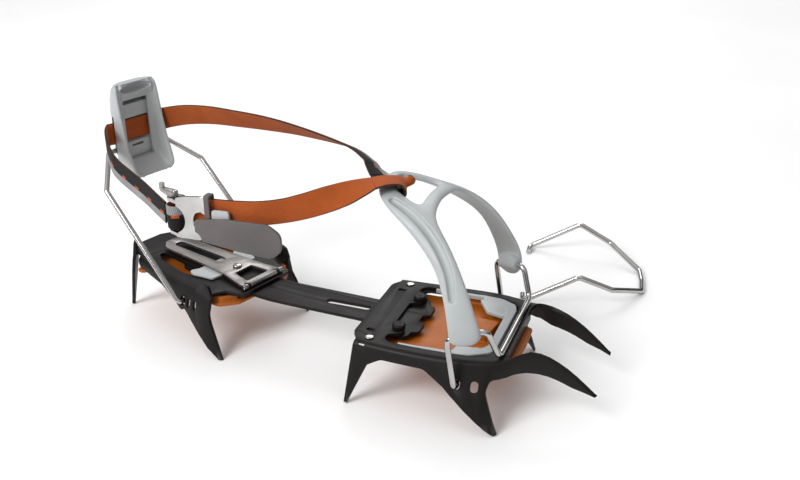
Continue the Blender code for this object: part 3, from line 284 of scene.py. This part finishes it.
def corner(before, here, after, radius, segments):
    """Points round the corner at here; a bend takes at most 0.48 of a straight run."""
    back, on = before - here, after - here
    reach = min(radius / tan(back.angle(on) / 2), back.length * 0.48, on.length * 0.48)
    start, end = here + back.normalized() * reach, here + on.normalized() * reach
    steps = [k / segments for k in range(segments + 1)]
    return [start * (1 - t)**2 + here * 2 * t * (1 - t) + end * t**2 for t in steps]


def filleted(points, radius):
    """Straight runs in space with rounded bends, as a wire is bent."""
    points = [Vector(p) for p in points]
    out = [points[0]]
    for before, here, after in zip(points, points[1:], points[2:]):
        out += corner(before, here, after, radius, 12)
    return out + [points[-1]]


def rounded(points):
    """Flat outline with its corners rounded; each point is (x, y, radius)."""
    flat = [Vector(point[:2]) for point in points]
    out = []
    for i, here in enumerate(flat):
        out += corner(flat[i - 1], here, flat[(i + 1) % len(flat)], points[i][2], 6)
    return [tuple(p) for p in out]


def both_sides(half):
    """Points of one side, then their mirror images back; a point on the middle plane isn't repeated."""
    return half + [(x, -y, z) for x, y, z in reversed(half) if y]


# --- objects and meshes ------------------------------------------------------

def new_object(name, data, looks=()):
    """Object in the scene's collection, with its materials."""
    made = bpy.data.objects.new(name, data)
    bpy.context.scene.collection.objects.link(made)
    for look in looks:
        data.materials.append(look)
    return made


def from_bmesh(name, bm, place, looks, smooth=35):
    """Object from a bmesh in millimetres; place takes its frame to the world."""
    bmesh.ops.transform(bm, matrix=place @ Matrix.Scale(MM, 4), verts=bm.verts)
    bmesh.ops.recalc_face_normals(bm, faces=bm.faces)
    mesh = bpy.data.meshes.new(name)
    bm.to_mesh(mesh)
    bm.free()
    made = new_object(name, mesh, looks)
    mesh.shade_smooth()
    mesh.set_sharp_from_angle(angle=radians(smooth))
    return made


def evaluated_mesh(item):
    """New mesh of the item's shape, with its modifiers or its bevel."""
    graph = bpy.context.evaluated_depsgraph_get()
    bpy.context.view_layer.update()
    return bpy.data.meshes.new_from_object(item.evaluated_get(graph))


def apply_modifiers(item):
    mesh = evaluated_mesh(item)
    item.modifiers.clear()
    item.data = mesh


def welded(mesh, distance):
    """The mesh as a bmesh, with points nearer than distance, in metres, joined."""
    bm = bmesh.new()
    bm.from_mesh(mesh)
    bmesh.ops.remove_doubles(bm, verts=bm.verts, dist=distance)
    return bm


def to_millimetres(bm):
    bmesh.ops.transform(bm, matrix=Matrix.Scale(1 / MM, 4), verts=bm.verts)
    return bm


def solid_copy(node):
    """The node's faces as a clean bmesh: welded, with its flat regions merged."""
    bm = welded(NODES[node].data, 2e-6)
    bmesh.ops.dissolve_limit(bm, angle_limit=radians(0.3), verts=bm.verts, edges=bm.edges)
    return to_millimetres(bm)


def stands_for(piece, body, node):
    """The piece rides on the body and replaces the node."""
    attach(piece, body)
    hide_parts(node)


def combine(target, tool, operation):
    """Boolean with another object, which is removed afterwards."""
    modifier = target.modifiers.new("cut", "BOOLEAN")
    modifier.operation = operation
    modifier.solver = "EXACT"
    modifier.object = tool
    apply_modifiers(target)
    bpy.data.objects.remove(tool)


def cut(target, bm, place, operation="DIFFERENCE"):
    """Boolean with a bmesh in the place frame's millimetres."""
    combine(target, from_bmesh("tool", bm, place, []), operation)


FEWEST_FACES = 12


def drop_slivers(piece):
    """Delete loose faces that a boolean or a bevel left beside the piece."""
    bm = welded(piece.data, 1e-7)
    bmesh.ops.dissolve_degenerate(bm, edges=bm.edges, dist=1e-7)
    unseen = set(bm.faces)
    loose = []
    while unseen:
        island, waiting = set(), [unseen.pop()]
        while waiting:
            face = waiting.pop()
            island.add(face)
            near = {other for edge in face.edges for other in edge.link_faces} & unseen
            unseen -= near
            waiting += near
        if len(island) < FEWEST_FACES:
            loose += island
    bmesh.ops.delete(bm, geom=loose, context="FACES")
    bm.to_mesh(piece.data)
    bm.free()


def crisp(node, body, slot, bevel, segments, bites=()):
    """Metal piece with the node's own shape and small rounded edges that catch the light.

    bites are shapes cut out of it, in the front frame's millimetres.
    """
    piece = from_bmesh(node + "_finish", solid_copy(node), Matrix.Identity(4), [LOOKS[slot]], smooth=180)
    for shape in bites:
        cut(piece, shape, FRONT)
    edges = piece.modifiers.new("edges", "BEVEL")
    edges.width = bevel * MM
    edges.segments = segments
    edges.limit_method = "ANGLE"
    edges.angle_limit = radians(32)
    edges.harden_normals = True
    edges.use_clamp_overlap = True
    apply_modifiers(piece)
    drop_slivers(piece)
    stands_for(piece, body, node)


def soften(piece, voxel, rounds):
    """Melt a shape's edges as a mould does: voxel remesh, then smoothing."""
    remesh = piece.modifiers.new("skin", "REMESH")
    remesh.mode = "VOXEL"
    remesh.voxel_size = voxel * MM
    melt = piece.modifiers.new("melt", "SMOOTH")
    melt.factor = 0.5
    melt.iterations = rounds
    apply_modifiers(piece)
    piece.data.shade_smooth()


def soft_moulding(node, body, slot, voxel, rounds, bites=(), gains=(), place=FRONT):
    """Moulded piece grown from the node's own shape.

    bites are shapes cut out of it and gains are shapes joined to it, in the place frame's millimetres.
    """
    piece = from_bmesh(node + "_finish", solid_copy(node), Matrix.Identity(4), [LOOKS[slot]])
    for shape in bites:
        cut(piece, shape, place)
    for shape in gains:
        cut(piece, shape, place, "UNION")
    soften(piece, voxel, rounds)
    stands_for(piece, body, node)
    return piece


def wire_bail(node, body, half, bend, radius, place):
    """Bent round wire in place of the node: a bevelled curve with filled ends, as a mesh.

    half is the route's left side, from its foot to the middle.
    """
    name = node + "_round"
    route = filleted(both_sides(half), bend)
    curve = bpy.data.curves.new(name, "CURVE")
    curve.dimensions = "3D"
    curve.bevel_depth = radius * MM
    curve.bevel_resolution = 6
    curve.use_fill_caps = True
    spline = curve.splines.new("POLY")
    spline.points.add(len(route) - 1)
    for point, where in zip(spline.points, route):
        point.co = (*(place @ (where * MM)), 1)
    holder = new_object(name, curve)
    mesh = evaluated_mesh(holder)
    bpy.data.objects.remove(holder)
    bm = to_millimetres(welded(mesh, 1e-6))
    piece = from_bmesh(name, bm, Matrix.Identity(4), [LOOKS["polished_steel"]], smooth=50)
    stands_for(piece, body, node)


def turned(node, body, slot, profile, centre, place, ending="_head"):
    """Turned piece in place of the node, about an axis along Z through centre.

    profile is (radius, height) from top to bottom.
    """
    bm = bmesh.new()
    sides = 48
    rings = []
    for radius, height in [(0.0, profile[0][1])] + profile + [(0.0, profile[-1][1])]:
        count = 1 if radius == 0 else sides
        rings.append([bm.verts.new((centre[0] + radius * cos(2 * pi * k / sides),
                                    centre[1] + radius * sin(2 * pi * k / sides),
                                    centre[2] + height)) for k in range(count)])
    for upper, lower in zip(rings, rings[1:]):
        for k in range(sides):
            corners = [upper[k % len(upper)], upper[(k + 1) % len(upper)],
                       lower[(k + 1) % len(lower)], lower[k % len(lower)]]
            bm.faces.new(list(dict.fromkeys(corners)))
    piece = from_bmesh(node + ending, bm, place, [LOOKS[slot]], smooth=45)
    stands_for(piece, body, node)


def rivet(node, body, place, head, foot):
    """Round-headed rivet where the CAD has it; its shank ends at foot."""
    low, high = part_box(node)
    centre = place.inverted() @ ((Vector(low) + Vector(high)) / 2) / MM
    base, rise, shank = 0.3, 1.0, 1.4
    arc = [(head * sin(radians(a)), base + rise * (0.35 + 0.65 * cos(radians(a))))
           for a in range(8, 90, 12)]
    edge = [(head, base + rise * 0.25), (head * 0.985, base), (shank, base), (shank, foot)]
    turned(node, body, "polished_steel", arc + edge, (centre.x, centre.y, 0), place)


# --- tool shapes for booleans, each a bmesh ----------------------------------

def cylinder(start, end, radius):
    start, end = Vector(start), Vector(end)
    along = end - start
    turn = along.to_track_quat("Z", "Y").to_matrix().to_4x4()
    bm = bmesh.new()
    bmesh.ops.create_cone(bm, cap_ends=True, segments=40, radius1=radius, radius2=radius,
                          depth=along.length, matrix=Matrix.Translation((start + end) / 2) @ turn)
    return bm


def box(low, high):
    low, high = Vector(low), Vector(high)
    bm = bmesh.new()
    size = Matrix.Diagonal((*(high - low), 1))
    bmesh.ops.create_cube(bm, size=1, matrix=Matrix.Translation((low + high) / 2) @ size)
    return bm


def plate(points, low, high):
    """Flat plate with the given outline, from height low to high."""
    bm = bmesh.new()
    bottom, top = ([bm.verts.new((x, y, z)) for x, y in points] for z in (low, high))
    bm.faces.new(reversed(bottom))
    bm.faces.new(top)
    for k in range(len(points)):
        bm.faces.new((bottom[k - 1], bottom[k], top[k], top[k - 1]))
    return bm


def ball(centre, radii, turn=0.0):
    """Ellipsoid for hollows and swellings, turned about Z by degrees."""
    bm = bmesh.new()
    turned_there = Matrix.Translation(centre) @ Matrix.Rotation(radians(turn), 4, "Z")
    bmesh.ops.create_uvsphere(bm, u_segments=40, v_segments=24, radius=1,
                              matrix=turned_there @ Matrix.Diagonal((*radii, 1)))
    return bm


# --- webbing -----------------------------------------------------------------

ACROSS = [-1, -0.985, -0.94, -0.8, -0.4, 0, 0.4, 0.8, 0.94, 0.985, 1]    # shares of the half width
EDGE_SQUARENESS = 24
UP = (0, 0, 1)


def strap_sections(points, sides, steps=14):
    """Centre, width direction, face direction and distance along the strap, point by point."""
    path = smooth_path(points, steps)
    spans = smooth_path(sides, steps)
    out = []
    travelled = 0.0
    for i, here in enumerate(path):
        ahead = path[min(i + 1, len(path) - 1)] - path[max(i - 1, 0)]
        across = spans[i] - ahead * spans[i].dot(ahead) / ahead.length_squared
        across.normalize()
        if i:
            travelled += (here - path[i - 1]).length
        out.append((here, across, ahead.cross(across).normalized(), travelled))
    return out


def strap(name, sections, patterned_side):
    """A length of webbing; its faces are sides 1 and -1, and one of them is patterned."""
    bm = bmesh.new()
    uv = bm.loops.layers.uv.new("strap")
    rings = []
    for here, across, face, along in sections:
        ring = []
        for side in (1, -1):
            for a in ACROSS if side == 1 else ACROSS[-2:0:-1]:
                half = STRAP_THICK / 2 * (1 - abs(a)**EDGE_SQUARENESS)**0.5 if abs(a) < 1 else 0.0
                point = here + across * a * STRAP_WIDTH / 2 + face * side * half
                ring.append((bm.verts.new(point), along * MM, (a + 1) / 2 * STRAP_WIDTH * MM))
        rings.append(ring)
    count = len(rings[0])
    turn = len(ACROSS) - 1
    for first, second in zip(rings, rings[1:]):
        for k in range(count):
            n = (k + 1) % count
            quad = [first[k], first[n], second[n], second[k]]
            made = bm.faces.new([vertex for vertex, _, _ in quad])
            for loop, (_, u, v) in zip(made.loops, quad):
                loop[uv].uv = (u, v)
            front = 1 if k < turn else -1
            made.material_index = 0 if front == patterned_side else 1
    for ring in (rings[0], rings[-1]):
        cap = bm.faces.new([vertex for vertex, _, _ in ring])
        cap.material_index = 1
    return from_bmesh(name, bm, FRONT, [LOOKS["webbing_pattern"], LOOKS["webbing_orange"]], smooth=60)


def heel_point(x, y, z):
    """A point of the heel frame in the front frame, in millimetres."""
    there = FRONT.inverted() @ HEEL @ (Vector((x, y, z)) * MM)
    return tuple(there / MM)


# Routes of the strap's lengths in the front frame, each with the direction of its width at every point.
STRAP_X, STRAP_Z = -141.6, 93.0
FAR_STRAP = [heel_point(STRAP_X, 20.5, STRAP_Z), heel_point(STRAP_X, 24.5, STRAP_Z + 0.2),
             (-217, 66, 96), (-195, 63.5, 101.8), (-171, 60, 105.2), (-146, 55.5, 106.6),
             (-118, 51, 107.4), (-87, 46, 106.6), (-46, 35.5, 104), (-27, 27, 99.2),
             (-19.5, 20.5, 96), (-11.4, 12.5, 93.8)]
FAR_SIDES = [UP, UP, (0, -0.12, 1), (0, -0.25, 1), (0, -0.38, 1), (0, -0.5, 1),
             (0, -0.68, 1), (0, -0.85, 0.78), (0, -0.92, 0.46), (-0.1, -0.9, 0.42),
             (-0.25, -0.88, 0.36), (-0.45, -0.85, 0.15)]
FOLD_STRAP = [FAR_STRAP[-1], (-3, 5.5, 92.8), (6, -1.5, 93.4), (13.5, -7, 97.2), (9.5, -11, 102),
              (2.5, -16, 103), (-4, -20.5, 102)]
FOLD_SIDES = [FAR_SIDES[-1], (-0.55, -0.82, 0), (-0.5, -0.85, 0), (0, -1, 0), (0.5, -0.85, 0),
              (0.6, -0.8, 0), (0.6, -0.8, -0.05)]
NEAR_STRAP = [FOLD_STRAP[-1], (-12, -25.8, 99.2), (-20, -30.5, 96.2), (-31, -36, 92.5),
              (-42.5, -42, 89), (-56, -46.5, 85.5), (-72, -50, 82.8), (-90, -51.2, 81.2),
              (-104, -51.2, 80.3), (-121, -50.6, 78)]
NEAR_SIDES = [(-0.6, 0.8, 0.05), (-0.55, 0.75, 0.4), (-0.4, 0.6, 0.7), (-0.2, 0.35, 0.9),
              (-0.1, 0.15, 1), UP, UP, UP, UP, UP]
REAR_STRAP = [heel_point(STRAP_X, -20.5, STRAP_Z), heel_point(STRAP_X, -25, STRAP_Z - 0.2),
              (-229.5, 8.5, 91.5), (-218, -3, 84.5), (-208.5, -9, 80), (-191, -19, 77.5),
              (-173, -29, 75), (-157.5, -38.5, 72.5), (-145.6, -45.6, 70.5)]
REAR_SIDES = [UP] * len(REAR_STRAP)


def bend_between(piece):
    """Bake the piece's placement into its mesh."""
    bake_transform(piece)


def free_strap(node, points, sides, patterned_side, chain):
    """One free length of the strap, split into pieces, each named after the two bodies it lies between.

    chain is (body, next body, share of the length) for each piece.
    """
    sections = strap_sections(points, sides)
    steps = (len(sections) - 1) / sum(share for _, _, share in chain)
    begin = 0
    for body_a, body_b, share in chain:
        end = begin + round(steps * share)
        part = sections[begin:min(end, len(sections) - 1) + 1]
        piece = strap(f"{node}_{body_a}_to_{body_b}", part, patterned_side)
        bend_between(piece)
        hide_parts(node)
        begin = end


def straps():
    free_strap("strap_far", FAR_STRAP, FAR_SIDES, -1,
               [("heel_slider", "heel_bail", 2.1), ("heel_bail", "heel", 3.0), ("heel", "front", 1.6),
                ("front", "toe_bail", 4.3)])
    free_strap("strap_near", NEAR_STRAP, NEAR_SIDES, 1,
               [("toe_bail", "front", 5.6), ("front", "heel", 3.4)])
    free_strap("strap_rear", REAR_STRAP, REAR_SIDES, 1,
               [("heel_slider", "heel_bail", 3), ("heel_bail", "heel", 5)])
    fold = strap("strap_fold_webbing", strap_sections(FOLD_STRAP, FOLD_SIDES), -1)
    stands_for(fold, "toe_bail", "strap_fold")
    inside = [heel_point(STRAP_X, y, STRAP_Z) for y in (-20.5, -10, 0, 10, 20.5)]
    middle = strap("strap_in_lever_webbing", strap_sections(inside, [UP] * len(inside), 4), -1)
    stands_for(middle, "heel_slider", "strap_in_lever")


# --- front section -----------------------------------------------------------

def front_section():
    crisp("front_plate", "front", "black_steel", 0.4, 2)
    crisp("linking_bar", "front", "black_steel", 0.4, 2)
    step = plate(rounded([(50, 15, 3), (75, 15, 3), (71.5, -7, 3), (50, -9, 3)]), -9.0, -2.6)
    soft_moulding("front_antisnow", "front", "orange_plastic", 0.55, 5, gains=[step])
    gusset = plate(rounded([(55, 34.5, 1), (64, 19.5, 3), (76, 16.5, 2), (79, 17, 1), (79, 31, 1),
                            (69, 34.5, 1)]), -1.6, 1.3)
    soft_moulding("toe_pad", "front", "grey_plastic", 0.5, 4, gains=[gusset])
    collar = [(1.5, 3.2), (1.9, 3.45), (3.9, 3.1), (4.4, 2.7), (4.6, 2.1), (4.6, 0.9), (4.5, 0.4),
              (1.9, 0.3), (1.9, -7.9)]
    for label, side in (("left", 1), ("right", -1)):
        rivet(f"front_rivet_{label}", "front", FRONT, 3.0, -7.9)
        turned(f"bar_collar_{label}", "front", "black_steel", collar, (14, side * 21.5, 0), FRONT)


# Rows from an arm's foot up to the rear loop; a row is the arm's rear edge, middle and front edge.
HARNESS_ARM = [
    ((60.5, 59.5, 17.5), (70, 57.5, 16.5), (79.5, 53.0, 18.5)),
    ((60.0, 60.0, 26), (70, 58.5, 26.5), (80.0, 54.5, 28)),
    ((57.5, 57.5, 37), (67.5, 57.5, 37), (77.0, 54.5, 37)),
    ((54.0, 54.0, 48), (64, 54.0, 47.5), (72.5, 51.5, 46.5)),
    ((48.5, 49.6, 61.4), (57, 49.0, 62.5), (63.5, 46.0, 63.5)),
    ((39, 44.5, 71), (47, 42.5, 74), (52.5, 37.5, 77.5)),
    ((28, 38.5, 79), (35.5, 35, 83), (40.5, 28, 86.5)),
    ((17, 33.5, 85.5), (23, 28.5, 89), (27.5, 21.5, 90.5)),
    ((7, 28, 90.5), (12, 22.5, 93.5), (15.5, 16.5, 94.5)),
    ((-1, 20, 94.5), (3, 15.5, 96.5), (7, 11.5, 97))]
HARNESS_BRIDGE = [((37.5, 12, 88.5), (27, 11, 91)), ((36.5, 0, 89), (26.5, 0, 91.5))]
HARNESS_LOOP = [((-4, 11, 96.5), (-0.5, 9.5, 98), (4.5, 8, 98)),
                ((-4.8, 0, 97), (-1, 0, 98.5), (3.8, 0, 98.3))]
HARNESS_THICK = 4.6
# The groove down each arm: a point on the arm's middle surface, the groove's radius and the way out.
GROOVE = [((10.8, 23.9, 92.8), 2.6, (0.05, 0.45, 0.89)), ((23, 28.5, 89), 3.4, (0.13, 0.48, 0.87)),
          ((35.5, 35, 83), 3.6, (0.35, 0.62, 0.70)), ((47, 42.5, 74), 3.5, (0.55, 0.68, 0.48)),
          ((55.6, 49.2, 62.4), 3.1, (0.62, 0.76, 0.18)), ((60.5, 54.2, 47.6), 2.3, (0.42, 0.90, 0.08))]


def harness_sheet():
    """The harness's middle surface: a left half, mirrored."""
    bm = bmesh.new()
    arm, loop, bridge = ([[bm.verts.new(p) for p in row] for row in rows]
                         for rows in (HARNESS_ARM, HARNESS_LOOP, HARNESS_BRIDGE))
    for lower, upper in list(zip(arm, arm[1:])) + [(arm[-1], loop[0]), (loop[0], loop[1])]:
        for k in range(2):
            bm.faces.new((lower[k], lower[k + 1], upper[k + 1], upper[k]))
    low_edge, high_edge = arm[6][2], arm[7][2]
    bm.faces.new((low_edge, bridge[0][0], bridge[0][1], high_edge))
    bm.faces.new((bridge[0][0], bridge[1][0], bridge[1][1], bridge[0][1]))
    geometry = bm.verts[:] + bm.edges[:] + bm.faces[:]
    bmesh.ops.mirror(bm, geom=geometry, matrix=Matrix.Identity(4), axis="Y", merge_dist=0.01)
    return bm


def harness_groove(side):
    """Tool that cuts one arm's groove: balls along it, melted together."""
    middle = smooth_path([Vector(point) + Vector(out).normalized() * (0.5 + radius * 0.6)
                          for point, radius, out in GROOVE], 10)
    radii = smooth_path([(radius, 0, 0) for _, radius, _ in GROOVE], 10)
    bm = bmesh.new()
    for point, radius in zip(middle, radii):
        bmesh.ops.create_uvsphere(bm, u_segments=16, v_segments=10, radius=radius.x,
                                  matrix=Matrix.Translation((point.x, side * point.y, point.z)))
    tool = from_bmesh("groove", bm, FRONT, [])
    soften(tool, 0.5, 3)
    return tool


def toe_harness():
    """Moulded yoke: two arms, a bridge and the rear loop, with a groove down each arm."""
    yoke = from_bmesh("toe_harness_moulding", harness_sheet(), FRONT, [LOOKS["grey_plastic"]])
    shell = yoke.modifiers.new("shell", "SOLIDIFY")
    shell.thickness = HARNESS_THICK * MM
    shell.offset = 0
    soft = yoke.modifiers.new("soft", "SUBSURF")
    soft.levels = soft.render_levels = 3
    apply_modifiers(yoke)
    for side in (1, -1):
        foot = cylinder((63.5, side * 57.0, 22.6), (77.5, side * 50.1, 24.9), 4.6)
        swelling = ball((70.4, side * 54.0, 23.4), (9.8, 4.0, 7.6), side * -25.7)
        cut(yoke, foot, FRONT, "UNION")
        cut(yoke, swelling, FRONT, "UNION")
    soften(yoke, 0.6, 9)
    for side in (1, -1):
        combine(yoke, harness_groove(side), "DIFFERENCE")
    soften(yoke, 0.5, 4)
    stands_for(yoke, "toe_bail", "toe_harness")


def pivot(joint, place):
    """The joint's pivot in the place frame, in millimetres."""
    return place.inverted() @ Vector(JOINTS[joint]["pos_m"]) / MM


def toe_wire():
    hole = pivot("toe_bail_tilt", FRONT)
    half = [(hole.x, 49.6, hole.z), (hole.x, 59.0, hole.z), (59, 59.0, 22.0), (82, 48.0, 25.5),
            (89.0, 41.5, 4.7)]
    wire_bail("toe_wire", "toe_bail", half, 6.5, WIRE_R, FRONT)


# --- heel section ------------------------------------------------------------

def heel_section():
    crisp("heel_plate", "heel", "black_steel", 0.4, 2)
    soft_moulding("heel_antisnow", "heel", "orange_plastic", 0.55, 5)
    soft_moulding("heel_pad", "heel", "grey_plastic", 0.4, 3)
    crisp("length_lever", "length_lever", "satin_steel", 0.3, 2)
    crisp("lever_pivot_pin", "heel", "polished_steel", 0.15, 1)
    peg = [(0.6, 6.25), (1.6, 6.2), (2.7, 5.95), (3.3, 5.5), (3.4, 5.1), (1.6, 5.1), (1.6, 2.2),
           (2.0, 2.1), (2.0, -4.2), (1.5, -5.3)]
    turned("index_peg", "length_lever", "polished_steel", peg, (-36.5, 0, 0), HEEL)
    for label in ("left", "right"):
        rivet(f"heel_rivet_{label}", "heel", HEEL, 2.6, -5.3)


LEVER_AXIS_X, LEVER_AXIS_Z = -142.8, 79.0
LEVER_SECTIONS = [    # z, back x, wing-tip x, face x, half width
    (59.5, -133.0, -122.0, -123.0, 16.5), (64.0, -141.5, -120.5, -127.0, 19.0),
    (72.0, -147.5, -123.0, -134.5, 20.0), (84.0, -148.8, -127.0, -136.8, 20.2),
    (100.0, -148.8, -130.0, -137.0, 20.0), (117.0, -148.0, -132.5, -137.2, 19.8),
    (122.0, -147.0, -133.2, -136.2, 19.6), (127.5, -145.5, -134.2, -134.8, 19.0),
    (130.5, -143.5, -136.5, -137.0, 17.5)]


def heel_bail():
    hole = pivot("heel_bail_tilt", HEEL)
    half = [(hole.x, 38.8, hole.z), (hole.x, 47.7, hole.z), (-121.8, 46.4, 59.0),
            (LEVER_AXIS_X, 25.5, LEVER_AXIS_Z)]
    wire_bail("heel_bail", "heel_bail", half, 4.0, WIRE_R, HEEL)


def smooth_rows(rows, steps):
    """Rows of five numbers with smooth rows between them."""
    triples = smooth_path([row[:3] for row in rows], steps)
    pairs = smooth_path([(*row[3:], 0) for row in rows], steps)
    return [(*a, b.x, b.y) for a, b in zip(triples, pairs)]


def lever_ring(bm, z, back, tip, face, half):
    """Section of the heel lever: a C open towards the toe, its back crowned."""
    crown = [(back, half * 0.28), (back + 0.5, half * 0.55), (back + 2.2, half * 0.8),
             (back + 5, half * 0.95), (back + 8, half)]
    wing = [(tip - 1.6, half), (tip - 0.3, half - 0.5), (tip, half - 1.4), (tip - 0.5, half - 2.4),
            (tip - 1.8, half - 3.2)]
    trough = [(face + 1.4, half - 5.2), (face + 0.4, half - 6.6), (face, half - 9)]
    return [bm.verts.new(p) for p in both_sides([(x, y, z) for x, y in crown + wing + trough])]


def heel_lever():
    """Moulded lever, closed at the back, and the slider that the strap runs through."""
    bm = bmesh.new()
    rings = [lever_ring(bm, *row) for row in smooth_rows(LEVER_SECTIONS, 5)]
    for lower, upper in zip(rings, rings[1:]):
        for k in range(len(lower)):
            n = (k + 1) % len(lower)
            bm.faces.new((lower[k], lower[n], upper[n], upper[k]))
    bm.faces.new(rings[0])
    bm.faces.new(list(reversed(rings[-1])))
    lever = from_bmesh("heel_lever_moulding", bm, HEEL, [LOOKS["grey_plastic"]])
    pocket = box((-146.6, -13.2, 63.6), (-139.1, 13.2, 121.6))
    window = box((-140.1, -11.2, 71.0), (-99.0, 11.2, 117.0))
    strap_slots = box((-145.4, -40, 72.0), (-139.6, 40, 106.5))
    scoop = ball((-131.0, 0, 125.9), (10.8, 15.5, 4.2))
    for shape in (pocket, window, strap_slots, scoop):
        cut(lever, shape, HEEL)
    soften(lever, 0.42, 5)
    stands_for(lever, "heel_lever", "heel_lever")
    front_relief = box((-139.2, -20, 60), (-130, 20, 125))
    top_gap = box((-150, -20, 113.4), (-130, 20, 125))
    slit = box((-141.4, -5.8, 79.4), (-138, 5.2, 81.0))
    soft_moulding("heel_slider", "heel_slider", "grey_plastic", 0.3, 3,
                  bites=[front_relief, top_gap, slit], place=HEEL)


# --- buckle ------------------------------------------------------------------

PIN_X, PIN_Y = -136.5, -46.5
LOOP_R = 5.8


def buckle():
    room_for_loop = cylinder((-135.0, -60, 71.5), (-135.0, -50.6, 71.5), 10.2)
    crisp("buckle_frame", "heel", "polished_steel", 0.5, 3, bites=[room_for_loop])
    crisp("buckle_lever", "buckle_lever", "satin_steel", 0.4, 3)
    pin = [(1.1, 88.6), (1.5, 88.3), (1.6, 87.9), (1.6, 55.2), (1.5, 54.7), (1.1, 54.5)]
    turned("buckle_pin", "heel", "polished_steel", pin, (PIN_X, PIN_Y, 0), FRONT, ending="_round")
    soft_moulding("strap_keeper", "heel", "tab_rubber", 0.35, 3)
    soft_moulding("tail_clip", "heel", "grey_plastic", 0.3, 3)
    tab = soft_moulding("strap_tail", "heel", "tab_rubber", 0.35, 4)
    lower_left_corner = cylinder((-117.5, -62, 60.0), (-117.5, -52, 60.0), 7.0)
    cut(tab, lower_left_corner, FRONT)
    sewn_loop()


def sewn_loop():
    """Webbing wrapped round the pin and sewn to itself."""
    turns = [(PIN_X + LOOP_R * cos(radians(a)), PIN_Y + LOOP_R * sin(radians(a)), 70.5)
             for a in range(150, -211, -20)]
    loop = strap("strap_loop_webbing", strap_sections(turns, [(0, 0, -1)] * len(turns), 3), 1)
    stands_for(loop, "heel", "strap_loop")


def spare_bail():
    """The spare bail lies on its two feet and its cross bar."""
    low = -45.5 + SPARE_WIRE_R
    half = [(-44.0, 41.0, low), (-43.3, 52.5, low), (0, 52.0, low + 25), (27.0, 45.0, low + 12.5),
            (52.0, 19.0, low + 0.4), (53.0, 0, low)]
    wire_bail("spare_bail", "spare_bail", half, 6.0, SPARE_WIRE_R, SPARE)


# --- studio ------------------------------------------------------------------

# How far up a direction points, from level to overhead, and how bright it is there.
SKY = [(0.0, 0.55), (0.10, 0.12), (0.28, 0.16), (0.42, 0.75), (1.0, 1.0)]
LAMPS = [    # name, place in metres, size in metres, watts
    ("key", (-0.8, -1.6, 1.4), 1.0, 38),
    ("fill", (1.4, -0.9, 1.3), 1.4, 2.5),
    ("rear", (-0.4, 1.5, 1.5), 1.2, 14)]


def floor():
    pale = Look("floor", roughness=0.9)
    pale.feed("Base Color", pale.ramp(pale.noise(3, 2), [(0.3, (0.86,) * 3), (0.7, (0.90,) * 3)]))
    bm = bmesh.new()
    bmesh.ops.create_grid(bm, x_segments=1, y_segments=1, size=6000)
    from_bmesh("floor", bm, Matrix.Translation((0, 0, -0.0002)), [pale.material])


def sky():
    """Surroundings for the steel to reflect: bright overhead and to the left, darker low down."""
    world = bpy.data.worlds.new("studio")
    world.use_nodes = True
    tree = world.node_tree
    direction = add_node(tree, "TexCoord").outputs["Generated"]
    parts = add_node(tree, "SeparateXYZ", {0: direction}).outputs
    brightness = add_node(tree, "ValToRGB", {"Fac": parts["Z"]})
    set_stops(brightness, [(height, (level,) * 3) for height, level in SKY])
    strength = add_node(tree, "MapRange",
                        {"Value": parts["X"], "From Min": -1.0, "To Min": 1.15, "To Max": 0.40})
    background = tree.nodes["Background"]
    tree.links.new(strength.outputs["Result"], background.inputs["Strength"])
    tree.links.new(brightness.outputs["Color"], background.inputs["Color"])
    bpy.context.scene.world = world


def lamps():
    for name, place, size, power in LAMPS:
        light = bpy.data.lights.new(name, "AREA")
        light.energy = power
        light.size = size
        lamp = new_object(name, light)
        lamp.location = place
        lamp.rotation_euler = (-Vector(place)).to_track_quat("-Z", "Y").to_euler()


def camera():
    data = bpy.data.cameras.new("camera")
    data.lens = 42.75
    data.sensor_width = 36
    item = new_object("camera", data)
    item.location = FRONT @ (Vector((209.5, -544.6, 325.8)) * MM)
    item.rotation_euler = Vector((-0.3163, 0.8493, -0.4226)).to_track_quat("-Z", "Y").to_euler()
    bpy.context.scene.camera = item
    bpy.context.scene.view_settings.view_transform = "Standard"


camera()
floor()
sky()
lamps()
front_section()
toe_wire()
toe_harness()
heel_section()
heel_bail()
heel_lever()
straps()
buckle()
spare_bail()
